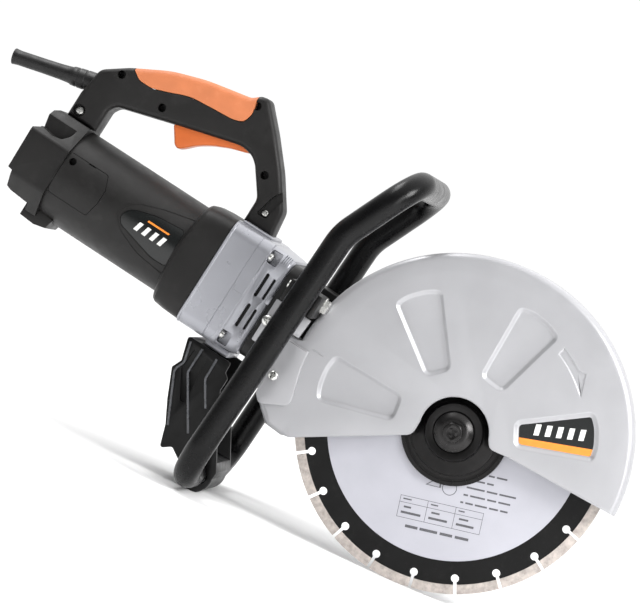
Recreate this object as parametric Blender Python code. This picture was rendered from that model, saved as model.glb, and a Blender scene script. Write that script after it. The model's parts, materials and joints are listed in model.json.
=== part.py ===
"""A 305 mm electric disc cutter for concrete, at real size, resting on its blade and its stand foot.

Shapes are given in the tool's own frame, in millimetres: X runs along the motor's axis towards the blade,
Y across the tool with the guard's open face at -Y, and Z up. Its origin is the middle of the spindle.
The whole tool is then tilted nose-down and moved so that the origin is under the middle of its box.
"""

import math

import bmesh
import bpy
import numpy as np
from mathutils import Matrix, Vector

MM = 0.001
GAP = 0.3
TILT = math.radians(9.5)

BLADE_R = 152.5
BLADE_Y = -37.0
BLADE_THICK = 2.5
BLADE_BORE_R = 11.1
SLOTS = 22
SLOT_W = 3.0
KEYHOLE_AT = 137.6
KEYHOLE_R = 3.8
SLOT_PHASE = math.radians(8.05)
FLANGE_R = 51.0
SPINDLE_R = 8.0
FLOOR_BELOW = BLADE_R

GUARD_R = 167.5
GUARD_NEAR = -58.0
GUARD_FAR = -14.0
RECESS_R = 33.0

BARREL_R = 48.0
BARREL_WALL = 4.0
BARREL_BACK = -450.0
BARREL_FRONT = -281.3
HOUSING_FRONT = -213.0
CASE_BACK = -212.7
SHAFT_Y = 24.75
HUB_CASE_R = 44.0
HUB_CASE_FAR = 42.0

TUBE_R = 12.7
LEG_Y = 101.0
BAR_LOW = (-187.5, -169.5)
LEG_BEND = (-181.2, 100.0)
BAR_TOP = (-147.6, 177.4)

GRIP_HALF = 16.0
GRIP_WALL = 6.0
TRIGGER_HALF = 9.0
TRIGGER_PIVOT = (-317.0, 117.5)

SPUR_MODULE = 1.5
SPUR_TEETH = (10, 23)
BEVEL_MODULE = 2.4
BEVEL_TEETH = (12, 23)

for old in list(bpy.data.objects):
    bpy.data.objects.remove(old)


# ---------------------------------------------------------------- materials and frame


def material(name, color, roughness, metallic=0.0):
    made = bpy.data.materials.new(name)
    made.use_nodes = True
    shader = made.node_tree.nodes["Principled BSDF"]
    shader.inputs["Base Color"].default_value = (*color, 1.0)
    shader.inputs["Roughness"].default_value = roughness
    shader.inputs["Metallic"].default_value = metallic
    made.diffuse_color = (*color, 1.0)
    return made


BLACK = material("black_plastic", (0.028, 0.027, 0.026), 0.6)
ORANGE = material("orange_rubber", (0.82, 0.24, 0.07), 0.65)
SILVER = material("silver_paint", (0.50, 0.50, 0.52), 0.4, 0.3)
CASTING = material("black_casting", (0.02, 0.02, 0.021), 0.45)
TUBE = material("black_tube", (0.012, 0.012, 0.013), 0.35)
ZINC = material("zinc", (0.62, 0.62, 0.60), 0.3, 1.0)
GUNMETAL = material("gunmetal", (0.055, 0.052, 0.05), 0.4, 1.0)
STEEL = material("steel", (0.45, 0.45, 0.46), 0.35, 1.0)
BLADE_STEEL = material("blade_steel", (0.55, 0.55, 0.60), 0.4, 0.6)
COPPER = material("copper", (0.70, 0.30, 0.16), 0.4, 1.0)
LAMINATION = material("lamination", (0.20, 0.20, 0.21), 0.5, 1.0)
CARBON = material("carbon", (0.02, 0.02, 0.02), 0.7)
RUBBER = material("rubber", (0.02, 0.02, 0.02), 0.8)


def empty(name, place=(0.0, 0.0, 0.0), parent=None):
    made = bpy.data.objects.new(name, None)
    made.empty_display_size = 0.02
    made.location = Vector(place) * MM
    made.parent = parent
    bpy.context.scene.collection.objects.link(made)
    return made


TOOL = empty("tool_frame")
TOOL.rotation_euler = (0.0, TILT, 0.0)
BLADE_AXIS = empty("blade_axis", parent=TOOL)
SHAFT_AXIS = empty("pinion_shaft_axis", (-120.0, SHAFT_Y, 0.0), TOOL)
MOTOR_AXIS = empty("motor_axis", (-330.0, 0.0, 0.0), TOOL)
TRIGGER_AXIS = empty("trigger_axis", (TRIGGER_PIVOT[0], 0.0, TRIGGER_PIVOT[1]), TOOL)
LOCK_OFF_AXIS = empty("lock_off_axis", (-424.0, GRIP_HALF, 105.0), TOOL)
SPINDLE_LOCK_AXIS = empty("spindle_lock_axis", (0.0, 20.0, HUB_CASE_R), TOOL)


# ---------------------------------------------------------------- modelling tools


def finished(bm, name, slot, parent=TOOL):
    """A mesh object from a bmesh in millimetres of the tool frame, hung on its parent."""
    bmesh.ops.remove_doubles(bm, verts=bm.verts, dist=0.0005)
    bmesh.ops.recalc_face_normals(bm, faces=bm.faces)
    bmesh.ops.scale(bm, vec=(MM, MM, MM), verts=bm.verts)
    mesh = bpy.data.meshes.new(name)
    bm.to_mesh(mesh)
    bm.free()
    mesh.materials.append(slot)
    made = bpy.data.objects.new(name, mesh)
    bpy.context.scene.collection.objects.link(made)
    made.parent = parent
    if parent is not TOOL:
        made.location = -parent.location
    mesh.shade_smooth()
    mesh.set_sharp_from_angle(angle=math.radians(35))
    return made


def combined(first, second, operation):
    """Two bmeshes joined, cut or intersected with the Boolean modifier; both are used up."""
    pair = []
    for number, bm in enumerate((first, second)):
        bmesh.ops.recalc_face_normals(bm, faces=bm.faces)
        mesh = bpy.data.meshes.new(f"boolean_{number}")
        bm.to_mesh(mesh)
        bm.free()
        made = bpy.data.objects.new(f"boolean_{number}", mesh)
        bpy.context.scene.collection.objects.link(made)
        pair.append(made)
    modifier = pair[0].modifiers.new("boolean", "BOOLEAN")
    modifier.operation = operation
    modifier.object = pair[1]
    evaluated = pair[0].evaluated_get(bpy.context.evaluated_depsgraph_get())
    result = bmesh.new()
    result.from_mesh(evaluated.to_mesh())
    evaluated.to_mesh_clear()
    for made in pair:
        mesh = made.data
        bpy.data.objects.remove(made)
        bpy.data.meshes.remove(mesh)
    bmesh.ops.remove_doubles(result, verts=result.verts, dist=0.002)
    return result


def cut(body, *cutters):
    for cutter in cutters:
        body = combined(body, cutter, "DIFFERENCE")
    return body


def joined(body, *others):
    for other in others:
        body = combined(body, other, "UNION")
    return body


def common(body, other):
    return combined(body, other, "INTERSECT")


def at_axis(axis, across, up, along):
    """A point from its two coordinates across an axis and one along it."""
    if axis == "Y":
        return Vector((across, along, up))
    if axis == "X":
        return Vector((along, across, up))
    return Vector((across, up, along))


def prism(outline, low, high, axis="Y"):
    """An outline swept straight along an axis. Along Y it is (x, z), along X (y, z), along Z (x, y)."""
    bm = bmesh.new()
    corners = [bm.verts.new(at_axis(axis, p[0], p[1], low)) for p in outline]
    face = bm.faces.new(corners)
    swept = bmesh.ops.extrude_face_region(bm, geom=[face])
    moved = [part for part in swept["geom"] if isinstance(part, bmesh.types.BMVert)]
    bmesh.ops.translate(bm, verts=moved, vec=at_axis(axis, 0.0, 0.0, high - low))
    bmesh.ops.recalc_face_normals(bm, faces=bm.faces)
    return bm


def block(low, high, soft=0.0, segments=1):
    """A box between two corners, with its edges bevelled by soft."""
    outline = [(low[0], low[2]), (high[0], low[2]), (high[0], high[2]), (low[0], high[2])]
    bm = prism(outline, low[1], high[1])
    if soft:
        soften(bm, soft, segments)
    return bm


def soften(bm, width, segments=1, chosen=lambda edge: True, angle=30):
    """Bevels the sharp edges that chosen accepts."""
    sharp = [
        edge
        for edge in bm.edges
        if len(edge.link_faces) == 2 and edge.calc_face_angle() > math.radians(angle) and chosen(edge)
    ]
    bmesh.ops.bevel(
        bm, geom=sharp, offset=width, segments=segments, profile=0.5, affect="EDGES", clamp_overlap=True
    )
    return bm


def circle(radius, count, phase=0.0):
    turn = 2 * math.pi / count
    return [(radius * math.cos(phase + i * turn), radius * math.sin(phase + i * turn)) for i in range(count)]


def cylinder(radius, low, high, axis="Y", centre=(0.0, 0.0), count=20):
    outline = [(centre[0] + x, centre[1] + y) for x, y in circle(radius, count)]
    return prism(outline, low, high, axis)


def turned(profile, axis="Y", centre=(0.0, 0.0), count=20, phase=0.0):
    """A profile of (along, radius) points, closed on itself or on the axis, spun round an axis."""
    bm = bmesh.new()
    rings = []
    for along, radius in profile:
        if radius == 0:
            rings.append([bm.verts.new(at_axis(axis, centre[0], centre[1], along))])
        else:
            spots = [(centre[0] + x, centre[1] + y) for x, y in circle(radius, count, phase)]
            rings.append([bm.verts.new(at_axis(axis, x, y, along)) for x, y in spots])
    pairs = list(zip(rings, rings[1:]))
    if profile[0][1] and profile[-1][1]:
        pairs.append((rings[-1], rings[0]))
    for first, second in pairs:
        skin(bm, first, second)
    bmesh.ops.recalc_face_normals(bm, faces=bm.faces)
    return bm


def skin(bm, first, second):
    """Faces between two rings, either of which may be a single point."""
    count = max(len(first), len(second))
    for i in range(count):
        j = (i + 1) % count
        corners = [
            first[i % len(first)], first[j % len(first)], second[j % len(second)],
            second[i % len(second)],
        ]
        unique = list(dict.fromkeys(corners))
        if len(unique) > 2:
            bm.faces.new(unique)


def loft(rings, loop=False):
    """A closed solid through rings of equally many points, capped, or looped back to the first ring."""
    bm = bmesh.new()
    made = [[bm.verts.new(point) for point in ring] for ring in rings]
    for first, second in zip(made, made[1:]):
        skin(bm, first, second)
    if loop:
        skin(bm, made[-1], made[0])
    else:
        bm.faces.new(made[0])
        bm.faces.new(made[-1])
    bmesh.ops.recalc_face_normals(bm, faces=bm.faces)
    return bm


def fanned(rings):
    """A solid through rings whose first and last are single points."""
    bm = bmesh.new()
    made = [[bm.verts.new(point) for point in ring] for ring in rings]
    for first, second in zip(made, made[1:]):
        skin(bm, first, second)
    bmesh.ops.recalc_face_normals(bm, faces=bm.faces)
    return bm


def rounded(points, radii, steps=4, closed=True):
    """Points in 2D or 3D with each corner replaced by an arc of its radius."""
    points = [Vector(p) for p in points]
    if not isinstance(radii, (list, tuple)):
        radii = [radii] * len(points)
    result = []
    for i, (corner, radius) in enumerate(zip(points, radii)):
        if radius == 0 or (not closed and i in (0, len(points) - 1)):
            result.append(corner)
            continue
        back = (points[i - 1] - corner).normalized()
        ahead = (points[(i + 1) % len(points)] - corner).normalized()
        half = back.angle(ahead) / 2
        middle = corner + (back + ahead).normalized() * radius / math.sin(half)
        start = corner + back * radius / math.tan(half) - middle
        end = corner + ahead * radius / math.tan(half) - middle
        sweep = start.angle(end)
        for k in range(steps + 1):
            share = k / steps
            weights = (math.sin((1 - share) * sweep), math.sin(share * sweep))
            result.append(middle + (start * weights[0] + end * weights[1]) / math.sin(sweep))
    return [tuple(p) for p in result]


def shrunk(outline, by):
    """A polygon with every side moved into it by the same amount."""
    points = [Vector(p) for p in outline]
    area = sum(a.x * b.y - b.x * a.y for a, b in zip(points, points[1:] + points[:1]))
    turn = 1.0 if area > 0 else -1.0
    result = []
    for i, corner in enumerate(points):
        back = (corner - points[i - 1]).normalized()
        ahead = (points[(i + 1) % len(points)] - corner).normalized()
        inward = (Vector((-back.y, back.x)) + Vector((-ahead.y, ahead.x))) * turn
        result.append(tuple(corner + inward * by / (1.0 + back.dot(ahead))))
    return result


def round_box(half_y, half_z, radius, along, count=6):
    """A rounded rectangle across the motor's axis, as a ring at one place along it."""
    corners = [(-half_y, -half_z), (half_y, -half_z), (half_y, half_z), (-half_y, half_z)]
    return [Vector((along, y, z)) for y, z in rounded(corners, radius, count - 1)]


def swept_tube(path, radius, sides):
    """A round tube along a closed path in space, whose rings never twist."""
    points = [Vector(p) for p in path]
    count = len(points)
    normal = Vector((1.0, 0.0, 0.0))
    rings = []
    for i in range(count):
        along = (points[(i + 1) % count] - points[i - 1]).normalized()
        normal = (normal - along * normal.dot(along)).normalized()
        side = along.cross(normal)
        rings.append([points[i] + normal * radius * x + side * radius * y for x, y in circle(1.0, sides)])
    shift = min(range(sides), key=lambda k: (rings[0][0] - rings[-1][k]).length)
    bm = bmesh.new()
    made = [[bm.verts.new(point) for point in ring] for ring in rings]
    for first, second in zip(made, made[1:]):
        skin(bm, first, second)
    skin(bm, made[-1][shift:] + made[-1][:shift], made[0])
    bmesh.ops.recalc_face_normals(bm, faces=bm.faces)
    return bm


# ---------------------------------------------------------------- gears


def spur_ring(teeth, module, phase, backlash=0.22):
    """(angle, radius) points of an involute spur gear, six to a tooth."""
    pitch = module * teeth / 2
    base = pitch * math.cos(math.radians(20))
    tip = pitch + 0.8 * module
    root = pitch - 1.15 * module

    def involute(radius):
        lean = math.acos(min(1.0, base / radius))
        return math.tan(lean) - lean

    def half_angle(radius):
        return math.pi / (2 * teeth) + involute(pitch) - involute(max(radius, base)) - backlash / (2 * pitch)

    flank = [(root, half_angle(base)), (pitch, half_angle(pitch)), (tip, half_angle(tip))]
    points = []
    for tooth in range(teeth):
        middle = phase + 2 * math.pi * tooth / teeth
        points += [(middle - half, radius) for radius, half in flank]
        points += [(middle + half, radius) for radius, half in reversed(flank)]
    return points


def bevel_ring(teeth, mate, scale, phase, module=BEVEL_MODULE, backlash=0.3):
    """(angle, radius, distance from the apex along the axis) points of a straight bevel gear's end."""
    radius = module * teeth / 2
    along = module * mate / 2
    cone = math.atan2(radius, along)
    virtual = teeth / math.cos(cone)
    tall, deep = 0.75 * module, 1.05 * module
    pressure = math.tan(math.radians(20))
    half = math.pi * module / 4 - backlash / 2
    wide_root = (half + deep * pressure * 0.75) / radius
    wide_tip = (half - tall * pressure - 0.02 * virtual * 0.1) / radius
    root = (radius - deep * math.cos(cone), along + deep * math.sin(cone))
    tip = (radius + tall * math.cos(cone), along - tall * math.sin(cone))
    points = []
    for tooth in range(teeth):
        middle = phase + 2 * math.pi * tooth / teeth
        for angle, (r, x) in ((-wide_root, root), (-wide_tip, tip), (wide_tip, tip), (wide_root, root)):
            points.append((middle + angle, r * scale, x * scale))
    return points


def ring_along_x(points, x, centre_y=0.0):
    """(angle from +Y, radius) points as a ring across the X axis."""
    return [Vector((x, centre_y + r * math.cos(a), r * math.sin(a))) for a, r in points]


def motor_housing():
    """The barrel, its squared front flare, and the web that holds the rear bearing."""
    count = 24
    outer = [
        [Vector((BARREL_BACK, y, z)) for y, z in circle(BARREL_R, count, math.pi / count)],
        [Vector((-314.0, y, z)) for y, z in circle(BARREL_R, count, math.pi / count)],
        squared_ring(52.0, 55.0, -306.0, count),
        squared_ring(52.0, 56.0, BARREL_FRONT, count),
    ]
    inner_r = BARREL_R - BARREL_WALL
    inner = [
        squared_ring(48.0, 52.0, BARREL_FRONT, count),
        squared_ring(48.0, 51.0, -304.0, count),
        [Vector((-314.0, y, z)) for y, z in circle(inner_r, count, math.pi / count)],
        [Vector((BARREL_BACK, y, z)) for y, z in circle(inner_r, count, math.pi / count)],
    ]
    body = loft(outer + inner, loop=True)
    web = turned([(-446.0, 11.3), (-446.0, 46.0), (-438.0, 46.0), (-438.0, 11.3)], "X", count=24)
    body = joined(body, web)
    for turn in range(4):
        y, z = circle(29.0, 4, math.pi / 4)[turn]
        body = cut(body, cylinder(8.0, -450.0, -436.0, "X", (y, z), 12))
    for side in (-1, 1):
        body = cut(body, brush_patch(side, 44.6, 60.0, GAP))
        body = cut(body, cylinder(7.3, *sorted((side * 38.0, side * 60.0)), "Y", (-420.0, 0.0), 16))
    body = cut(body, badge_patch(47.2, 60.0, GAP))
    return finished(body, "motor_housing", BLACK)


def squared_ring(half_y, half_z, along, count):
    """A ring between a circle and a rectangle, with its points at even angles."""
    points = []
    for y, z in circle(1.0, count, math.pi / count):
        stretch = (abs(y) ** 5 + abs(z) ** 5) ** -0.2
        points.append(Vector((along, half_y * y * stretch, half_z * z * stretch)))
    return points


def brush_patch(side, inner_r, outer_r, grow=0.0):
    """The brush cover's outline through the barrel's side, between two radii."""
    outline = [
        (-448.5, -20.0), (-448.5, 23.5), (-411.0, 23.5), (-404.5, 10.0), (-404.5, -4.0),
        (-409.0, -20.0),
    ]
    middle = Vector((-428.0, 1.0))
    grown = [Vector(p) + (Vector(p) - middle).normalized() * grow * 1.4 for p in outline]
    low, high = sorted((side * 30.0, side * 62.0))
    profile = [(-460.0, inner_r), (-460.0, outer_r), (-400.0, outer_r), (-400.0, inner_r)]
    ring = turned(profile, "X", count=24, phase=math.pi / 24)
    return common(prism([tuple(p) for p in grown], low, high), ring)


def badge_patch(inner_r, outer_r, grow=0.0):
    """The badge's teardrop outline on the near side of the barrel."""
    outline = [
        (-377.0, -1.0), (-373.0, 8.5), (-350.0, 16.5), (-318.5, 19.3), (-317.2, -19.0),
        (-333.5, -19.0), (-360.0, -11.5),
    ]
    middle = Vector((-340.0, 0.0))
    grown = [Vector(p) + (Vector(p) - middle).normalized() * grow * 1.4 for p in outline]
    profile = [(-380.0, inner_r), (-380.0, outer_r), (-314.5, outer_r), (-314.5, inner_r)]
    ring = turned(profile, "X", count=24, phase=math.pi / 24)
    return common(prism([tuple(p) for p in grown], -62.0, -30.0), ring)


def motor_trim():
    finished(badge_patch(47.5, 48.3), "motor_badge", BLACK)
    for side, word in ((-1, "left"), (1, "right")):
        finished(brush_patch(side, 45.0, 48.4), f"brush_cover_{word}", BLACK)


def rear_cover():
    """The boxy cap behind the barrel: a side outline crossed with an end outline, then hollowed."""
    side = [(-495.0, -21.0), (-496.0, 23.0), (-489.5, 27.5), (-487.5, 46.0), (-483.0, 49.5), (-450.4, 49.5)]
    side += [
        (-450.4, -49.0), (-463.0, -49.0), (-463.0, -42.0), (-487.0, -40.0), (-491.0, -38.0),
        (-491.0, -22.0),
    ]
    end = rounded([(-24.0, 49.5), (-46.5, 22.0), (-46.5, -24.0), (-26.0, -49.5)], 6.0, 3, closed=False)
    end += [(-y, z) for y, z in reversed(end)]
    body = common(prism(side, -60.0, 60.0), prism(end, -520.0, -440.0, "X"))
    inside = rounded([(-38.0, -32.0), (38.0, -32.0), (38.0, 20.0), (22.0, 42.0), (-22.0, 42.0), (-38.0, 20.0)], 4.0, 2)
    body = cut(body, prism(inside, -489.0, -440.0, "X"))
    lip = [
        (-463.0, -41.0), (-463.0, -55.5), (-446.0, -56.5), (-435.0, -53.5), (-434.0, -44.0),
        (-450.4, -40.0),
    ]
    lip = cut(prism(lip, -22.0, 22.0), cylinder(BARREL_R + 0.4, -450.4, -400.0, "X", count=96))
    return finished(joined(body, lip), "rear_cover", BLACK)


def stator():
    """The laminated ring with its two poles, and a winding round each pole."""
    bore = []
    for degrees in range(0, 360, 10):
        on_pole = 50 <= degrees % 180 <= 130
        angle = math.radians(degrees)
        radius = 28.0 if on_pole else 34.0
        bore.append((radius * math.cos(angle), radius * math.sin(angle)))
    body = cut(cylinder(43.5, -395.0, -335.0, "X", count=32), prism(bore, -400.0, -330.0, "X"))
    finished(body, "stator_core", LAMINATION)
    for up, word in ((1, "top"), (-1, "bottom")):
        finished(field_coil(up), f"field_coil_{word}", COPPER)


def field_coil(up):
    """A rectangular winding bent round its pole."""
    loops = []
    for half_angle, back, front in ((53.0, -396.0, -334.0), (84.0, -404.0, -326.0)):
        spread = [math.radians(90 + a) for a in np.linspace(-half_angle, half_angle, 9)]
        loops.append([(a, back) for a in spread] + [(a, front) for a in reversed(spread)])
    rings = []
    for loop, radius in ((loops[0], 29.0), (loops[1], 29.0), (loops[1], 33.6), (loops[0], 33.6)):
        rings.append([Vector((x, radius * math.cos(a), up * radius * math.sin(a))) for a, x in loop])
    return loft(rings, loop=True)


def bearing(name, inner_r, outer_r, low, high, axis, centre=(0.0, 0.0)):
    profile = [(low, inner_r), (low, outer_r), (high, outer_r), (high, inner_r)]
    return finished(turned(profile, axis, centre, 16), name, STEEL)


def brushes():
    for side, word in ((-1, "left"), (1, "right")):
        low, high = sorted((side * 17.6, side * 34.0))
        finished(block((-426.0, low, -3.5), (-414.0, high, 3.5)), f"carbon_brush_{word}", CARBON)
        low, high = sorted((side * 22.0, side * 42.0))
        holder = block((-428.0, low, -5.5), (-412.0, high, 5.5), 0.8)
        low, high = sorted((side * 20.0, side * 40.0))
        holder = cut(holder, block((-426.3, low, -3.8), (-413.7, high, 3.8)))
        finished(holder, f"brush_holder_{word}", COPPER)


def armature():
    """The armature turns on the motor's axis; its drive pinion is cut on the shaft's front end."""
    profile = [(-447.0, 0.0), (-447.0, 4.0), (-436.0, 4.0), (-436.0, 5.5), (-231.0, 5.5), (-231.0, 5.0)]
    shaft = turned(profile + [(-205.0, 5.0), (-205.0, 0.0)], "X", count=16)
    teeth = spur_ring(SPUR_TEETH[0], SPUR_MODULE, 0.0)
    gear = loft([ring_along_x(teeth, -211.5), ring_along_x(teeth, -200.5)])
    finished(joined(gear, shaft), "armature_shaft", STEEL, MOTOR_AXIS)
    core = turned([(-397.0, 5.8), (-397.0, 26.5), (-333.0, 26.5), (-333.0, 5.8)], "X", count=24)
    finished(core, "armature_core", LAMINATION, MOTOR_AXIS)
    ring = turned([(-432.0, 5.8), (-432.0, 17.0), (-408.0, 17.0), (-408.0, 5.8)], "X", count=20)
    finished(ring, "commutator", COPPER, MOTOR_AXIS)
    finished(fan(), "cooling_fan", BLACK, MOTOR_AXIS)


def fan():
    """A back plate with straight radial vanes on a hub."""
    profile = [(-243.0, 5.8), (-264.0, 5.8), (-264.0, 11.0), (-246.0, 11.0), (-246.0, 42.0), (-243.0, 42.0)]
    body = turned(profile, "X")
    for vane in range(9):
        blade = block((-262.0, 9.0, -1.2), (-245.0, 41.0, 1.2))
        bmesh.ops.rotate(blade, verts=blade.verts, matrix=Matrix.Rotation(2 * math.pi * vane / 9, 3, "X"))
        body = joined(body, blade)
    return body


# ---------------------------------------------------------------- gearing


def gear_housing():
    """The silver end housing: the fan's chamber, both rear bearings' seats and the exhaust slots."""
    outer = [round_box(52.0, 56.0, 13.0, -281.0), round_box(52.0, 56.0, 13.0, -238.0)]
    outer += [round_box(49.0, 53.0, 12.0, -216.0), round_box(46.5, 50.5, 12.0, HOUSING_FRONT)]
    inner = [round_box(48.0, 52.0, 10.0, -285.0), round_box(48.0, 52.0, 10.0, -240.0)]
    inner += [round_box(45.0, 49.0, 9.0, -219.0)]
    body = cut(loft(outer), loft(inner))
    body = joined(body, cylinder(17.0, -231.0, -216.0, "X"))
    body = joined(body, cylinder(13.0, -231.0, -216.0, "X", (SHAFT_Y, 0.0)))
    body = cut(body, cylinder(13.3, -233.0, -210.0, "X"))
    body = cut(body, cylinder(9.8, -233.0, -210.0, "X", (SHAFT_Y, 0.0)))
    body = joined(body, block((-248.0, -30.0, -62.0), (-222.0, 30.0, -55.0), 1.5))
    for side in (-1, 1):
        for up in (-1, 1):
            post = cylinder(8.0, -278.0, -215.0, "X", (side * 42.5, up * 43.0), 10)
            body = joined(body, post)
            body = cut(body, cylinder(6.0, -239.0, -200.0, "X", (side * 44.5, up * 43.0), 12))
            body = cut(body, cylinder(2.8, -262.0, -230.0, "X", (side * 44.5, up * 43.0), 8))
            low, high = sorted((up * 4.0, up * 29.5))
            for x in (-231.5, -223.5):
                reach = sorted((side * 40.0, side * 60.0))
                body = cut(body, block((x - 1.5, reach[0], low), (x + 1.5, reach[1], high)))
    return finished(body, "gear_housing", SILVER)


def pan_screw(head_r, head_deep, shank_r, length, axis, centre, face, way):
    """A screw whose head stands on face and whose shank runs way along the axis."""
    profile = [(-head_deep, 0.0), (-head_deep, head_r * 0.75), (0.0, head_r)]
    profile += [(0.0, shank_r), (length, shank_r), (length, 0.0)]
    return turned([(face + way * t, r) for t, r in profile], axis, centre, 10)


def housing_screws():
    number = 0
    for side in (-1, 1):
        for up in (-1, 1):
            number += 1
            screw = pan_screw(4.8, 3.6, 2.2, 20.0, "X", (side * 44.5, up * 43.0), -238.7, -1)
            finished(screw, f"housing_screw_{number}", ZINC)


def gear_case():
    """The black casting: flange, gear pocket, shaft tunnel and the round chamber of the bevel gears."""
    flange = [round_box(50.0, 50.0, 12.0, CASE_BACK), round_box(50.0, 50.0, 12.0, -200.0)]
    body = loft(flange + [round_box(44.0, 44.0, 12.0, -194.0)])
    arm = rounded([(-8.0, -24.0), (41.5, -24.0), (41.5, 24.0), (-8.0, 24.0)], 7.0, 2)
    arm = prism(arm, -200.0, -30.0, "X")
    hub = cylinder(HUB_CASE_R, -13.7, HUB_CASE_FAR, count=36)
    body = joined(body, arm, hub)
    pocket = cylinder(21.0, -214.0, -198.5, "X", (SHAFT_Y, 0.0), 24)
    pocket = joined(cylinder(11.0, -214.0, -198.5, "X"), pocket)
    body = cut(body, pocket, cylinder(9.0, -199.0, -36.0, "X", (SHAFT_Y, 0.0)))
    body = cut(body, cylinder(38.0, -0.8, 60.0, count=36), cylinder(13.3, -57.5, -30.0, "X", (SHAFT_Y, 0.0)))
    body = cut(body, cylinder(17.9, -20.0, 4.0, count=24))
    body = cut(body, cylinder(4.3, 30.0, 50.0, "Z", (0.0, 20.0), 16))
    return finished(body, "gear_case", CASTING)


def gear_case_cover():
    """The round lid over the bevel gears, with the outer spindle bearing's seat in its inside face."""
    outside = [
        (42.3, 0.0), (42.3, 43.0), (49.0, 43.0), (52.0, 40.0), (52.0, 22.0), (56.0, 19.0),
        (56.0, 0.0),
    ]
    body = cut(turned(outside, count=36), cylinder(13.4, 40.0, 52.6))
    return finished(body, "gear_case_cover", CASTING)


def pinion_shaft():
    """The shaft that carries the spur gear behind and the bevel pinion in front."""
    profile = [(-228.0, 0.0), (-228.0, 3.9), (-218.0, 3.9), (-218.0, 6.0), (-58.5, 6.0), (-58.5, 5.0)]
    profile += [(-46.0, 5.0), (-46.0, 8.0), (-38.5, 8.0), (-34.0, 10.0), (-17.5, 4.5), (-17.5, 0.0)]
    shaft = turned(profile, "X", (SHAFT_Y, 0.0), 16)
    rings = []
    for scale in (1.0, 0.7):
        ring = bevel_ring(BEVEL_TEETH[0], BEVEL_TEETH[1], scale, math.pi)
        rings.append([Vector((-x, SHAFT_Y + r * math.cos(a), r * math.sin(a))) for a, r, x in ring])
    ends = [[Vector((x, SHAFT_Y, 0.0))] for x in (-34.0, -19.0)]
    gear = fanned([ends[0], *rings, ends[1]])
    finished(joined(gear, shaft), "pinion_shaft", STEEL, SHAFT_AXIS)
    teeth = spur_ring(SPUR_TEETH[1], SPUR_MODULE, math.pi + math.pi / SPUR_TEETH[1])
    gear = loft([ring_along_x(teeth, -211.0, SHAFT_Y), ring_along_x(teeth, -201.0, SHAFT_Y)])
    gear = cut(gear, cylinder(6.3, -215.0, -195.0, "X", (SHAFT_Y, 0.0), 16))
    finished(gear, "drive_gear", STEEL, SHAFT_AXIS)


def bevel_wheel():
    phase = math.pi + math.pi / BEVEL_TEETH[1]
    rings = []
    for scale in (1.0, 0.7):
        ring = bevel_ring(BEVEL_TEETH[1], BEVEL_TEETH[0], scale, phase)
        rings.append([Vector((r * math.cos(a), SHAFT_Y - x, r * math.sin(a))) for a, r, x in ring])
    ends = [[Vector((0.0, y, 0.0))] for y in (4.0, 13.0)]
    body = fanned([ends[0], *rings, ends[1]])
    hub = turned([(0.4, 0.0), (0.4, 21.0), (7.0, 24.0), (14.0, 12.0), (14.0, 0.0)], count=24)
    body = cut(joined(body, hub), cylinder(8.3, -5.0, 20.0, count=16))
    finished(body, "bevel_wheel", STEEL, BLADE_AXIS)


def spindle():
    profile = [
        (-56.0, 0.0), (-56.0, 7.2), (-55.2, SPINDLE_R), (16.0, SPINDLE_R), (16.0, 7.0),
        (42.5, 7.0), (42.5, 6.0), (51.8, 6.0), (51.8, 0.0),
    ]
    body = cut(turned(profile, count=16), cylinder(5.3, -60.0, -26.0, count=12))
    finished(body, "spindle", STEEL, BLADE_AXIS)


# ---------------------------------------------------------------- blade and its clamping


def blade():
    """The slotted disc: a keyhole slot between each pair of segments."""
    pitch = 2 * math.pi / SLOTS
    half_slot = SLOT_W / 2
    outline = []
    for slot in range(SLOTS):
        middle = SLOT_PHASE + slot * pitch
        side = Vector((-math.sin(middle), math.cos(middle)))
        out = Vector((math.cos(middle), math.sin(middle)))
        neck = math.asin(half_slot / KEYHOLE_R)
        rim_x = math.sqrt(BLADE_R**2 - half_slot**2)
        outline.append(tuple(out * rim_x - side * half_slot))
        for angle in np.linspace(-neck, -2 * math.pi + neck, 7):
            reach = KEYHOLE_AT + KEYHOLE_R * math.cos(angle)
            outline.append(tuple(out * reach + side * KEYHOLE_R * math.sin(angle)))
        outline.append(tuple(out * rim_x + side * half_slot))
        for share in (1 / 3, 2 / 3):
            angle = middle + pitch * share
            outline.append((BLADE_R * math.cos(angle), BLADE_R * math.sin(angle)))
    low, high = BLADE_Y - BLADE_THICK / 2, BLADE_Y + BLADE_THICK / 2
    body = cut(prism(outline, low, high), cylinder(BLADE_BORE_R, -50.0, -20.0))
    finished(body, "blade", BLADE_STEEL, BLADE_AXIS)


def flanges():
    face = BLADE_Y + BLADE_THICK / 2 + 0.3
    profile = [
        (face, 8.3), (face, FLANGE_R), (face + 6.0, FLANGE_R), (face + 8.0, 14.0), (-12.0, 14.0),
        (-12.0, 8.3),
    ]
    finished(turned(profile, count=28), "inner_flange", GUNMETAL, BLADE_AXIS)
    face = BLADE_Y - BLADE_THICK / 2 - 0.3
    profile = [
        (face, 8.3), (face, FLANGE_R), (-43.0, FLANGE_R), (-44.5, 41.5), (-47.0, 40.4),
        (-50.5, 29.5),
    ]
    profile += [(-58.0, 27.0), (-58.0, 20.0), (-56.6, 19.0), (-56.6, 8.3)]
    finished(turned(profile, count=28), "outer_flange", GUNMETAL, BLADE_AXIS)
    profile = [(-56.9, 5.6), (-56.9, 18.2), (-58.5, 18.5), (-61.6, 13.0), (-62.2, 5.6)]
    finished(turned(profile), "blade_washer", GUNMETAL, BLADE_AXIS)
    hexagon = [(x, z) for x, z in circle(17.0 / math.sqrt(3), 6, math.radians(10))]
    head = prism(hexagon, -69.0, -62.5)
    shank = cylinder(5.0, -62.6, -30.0, count=16)
    finished(joined(head, shank), "blade_bolt", GUNMETAL, BLADE_AXIS)


# ---------------------------------------------------------------- guard


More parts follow.
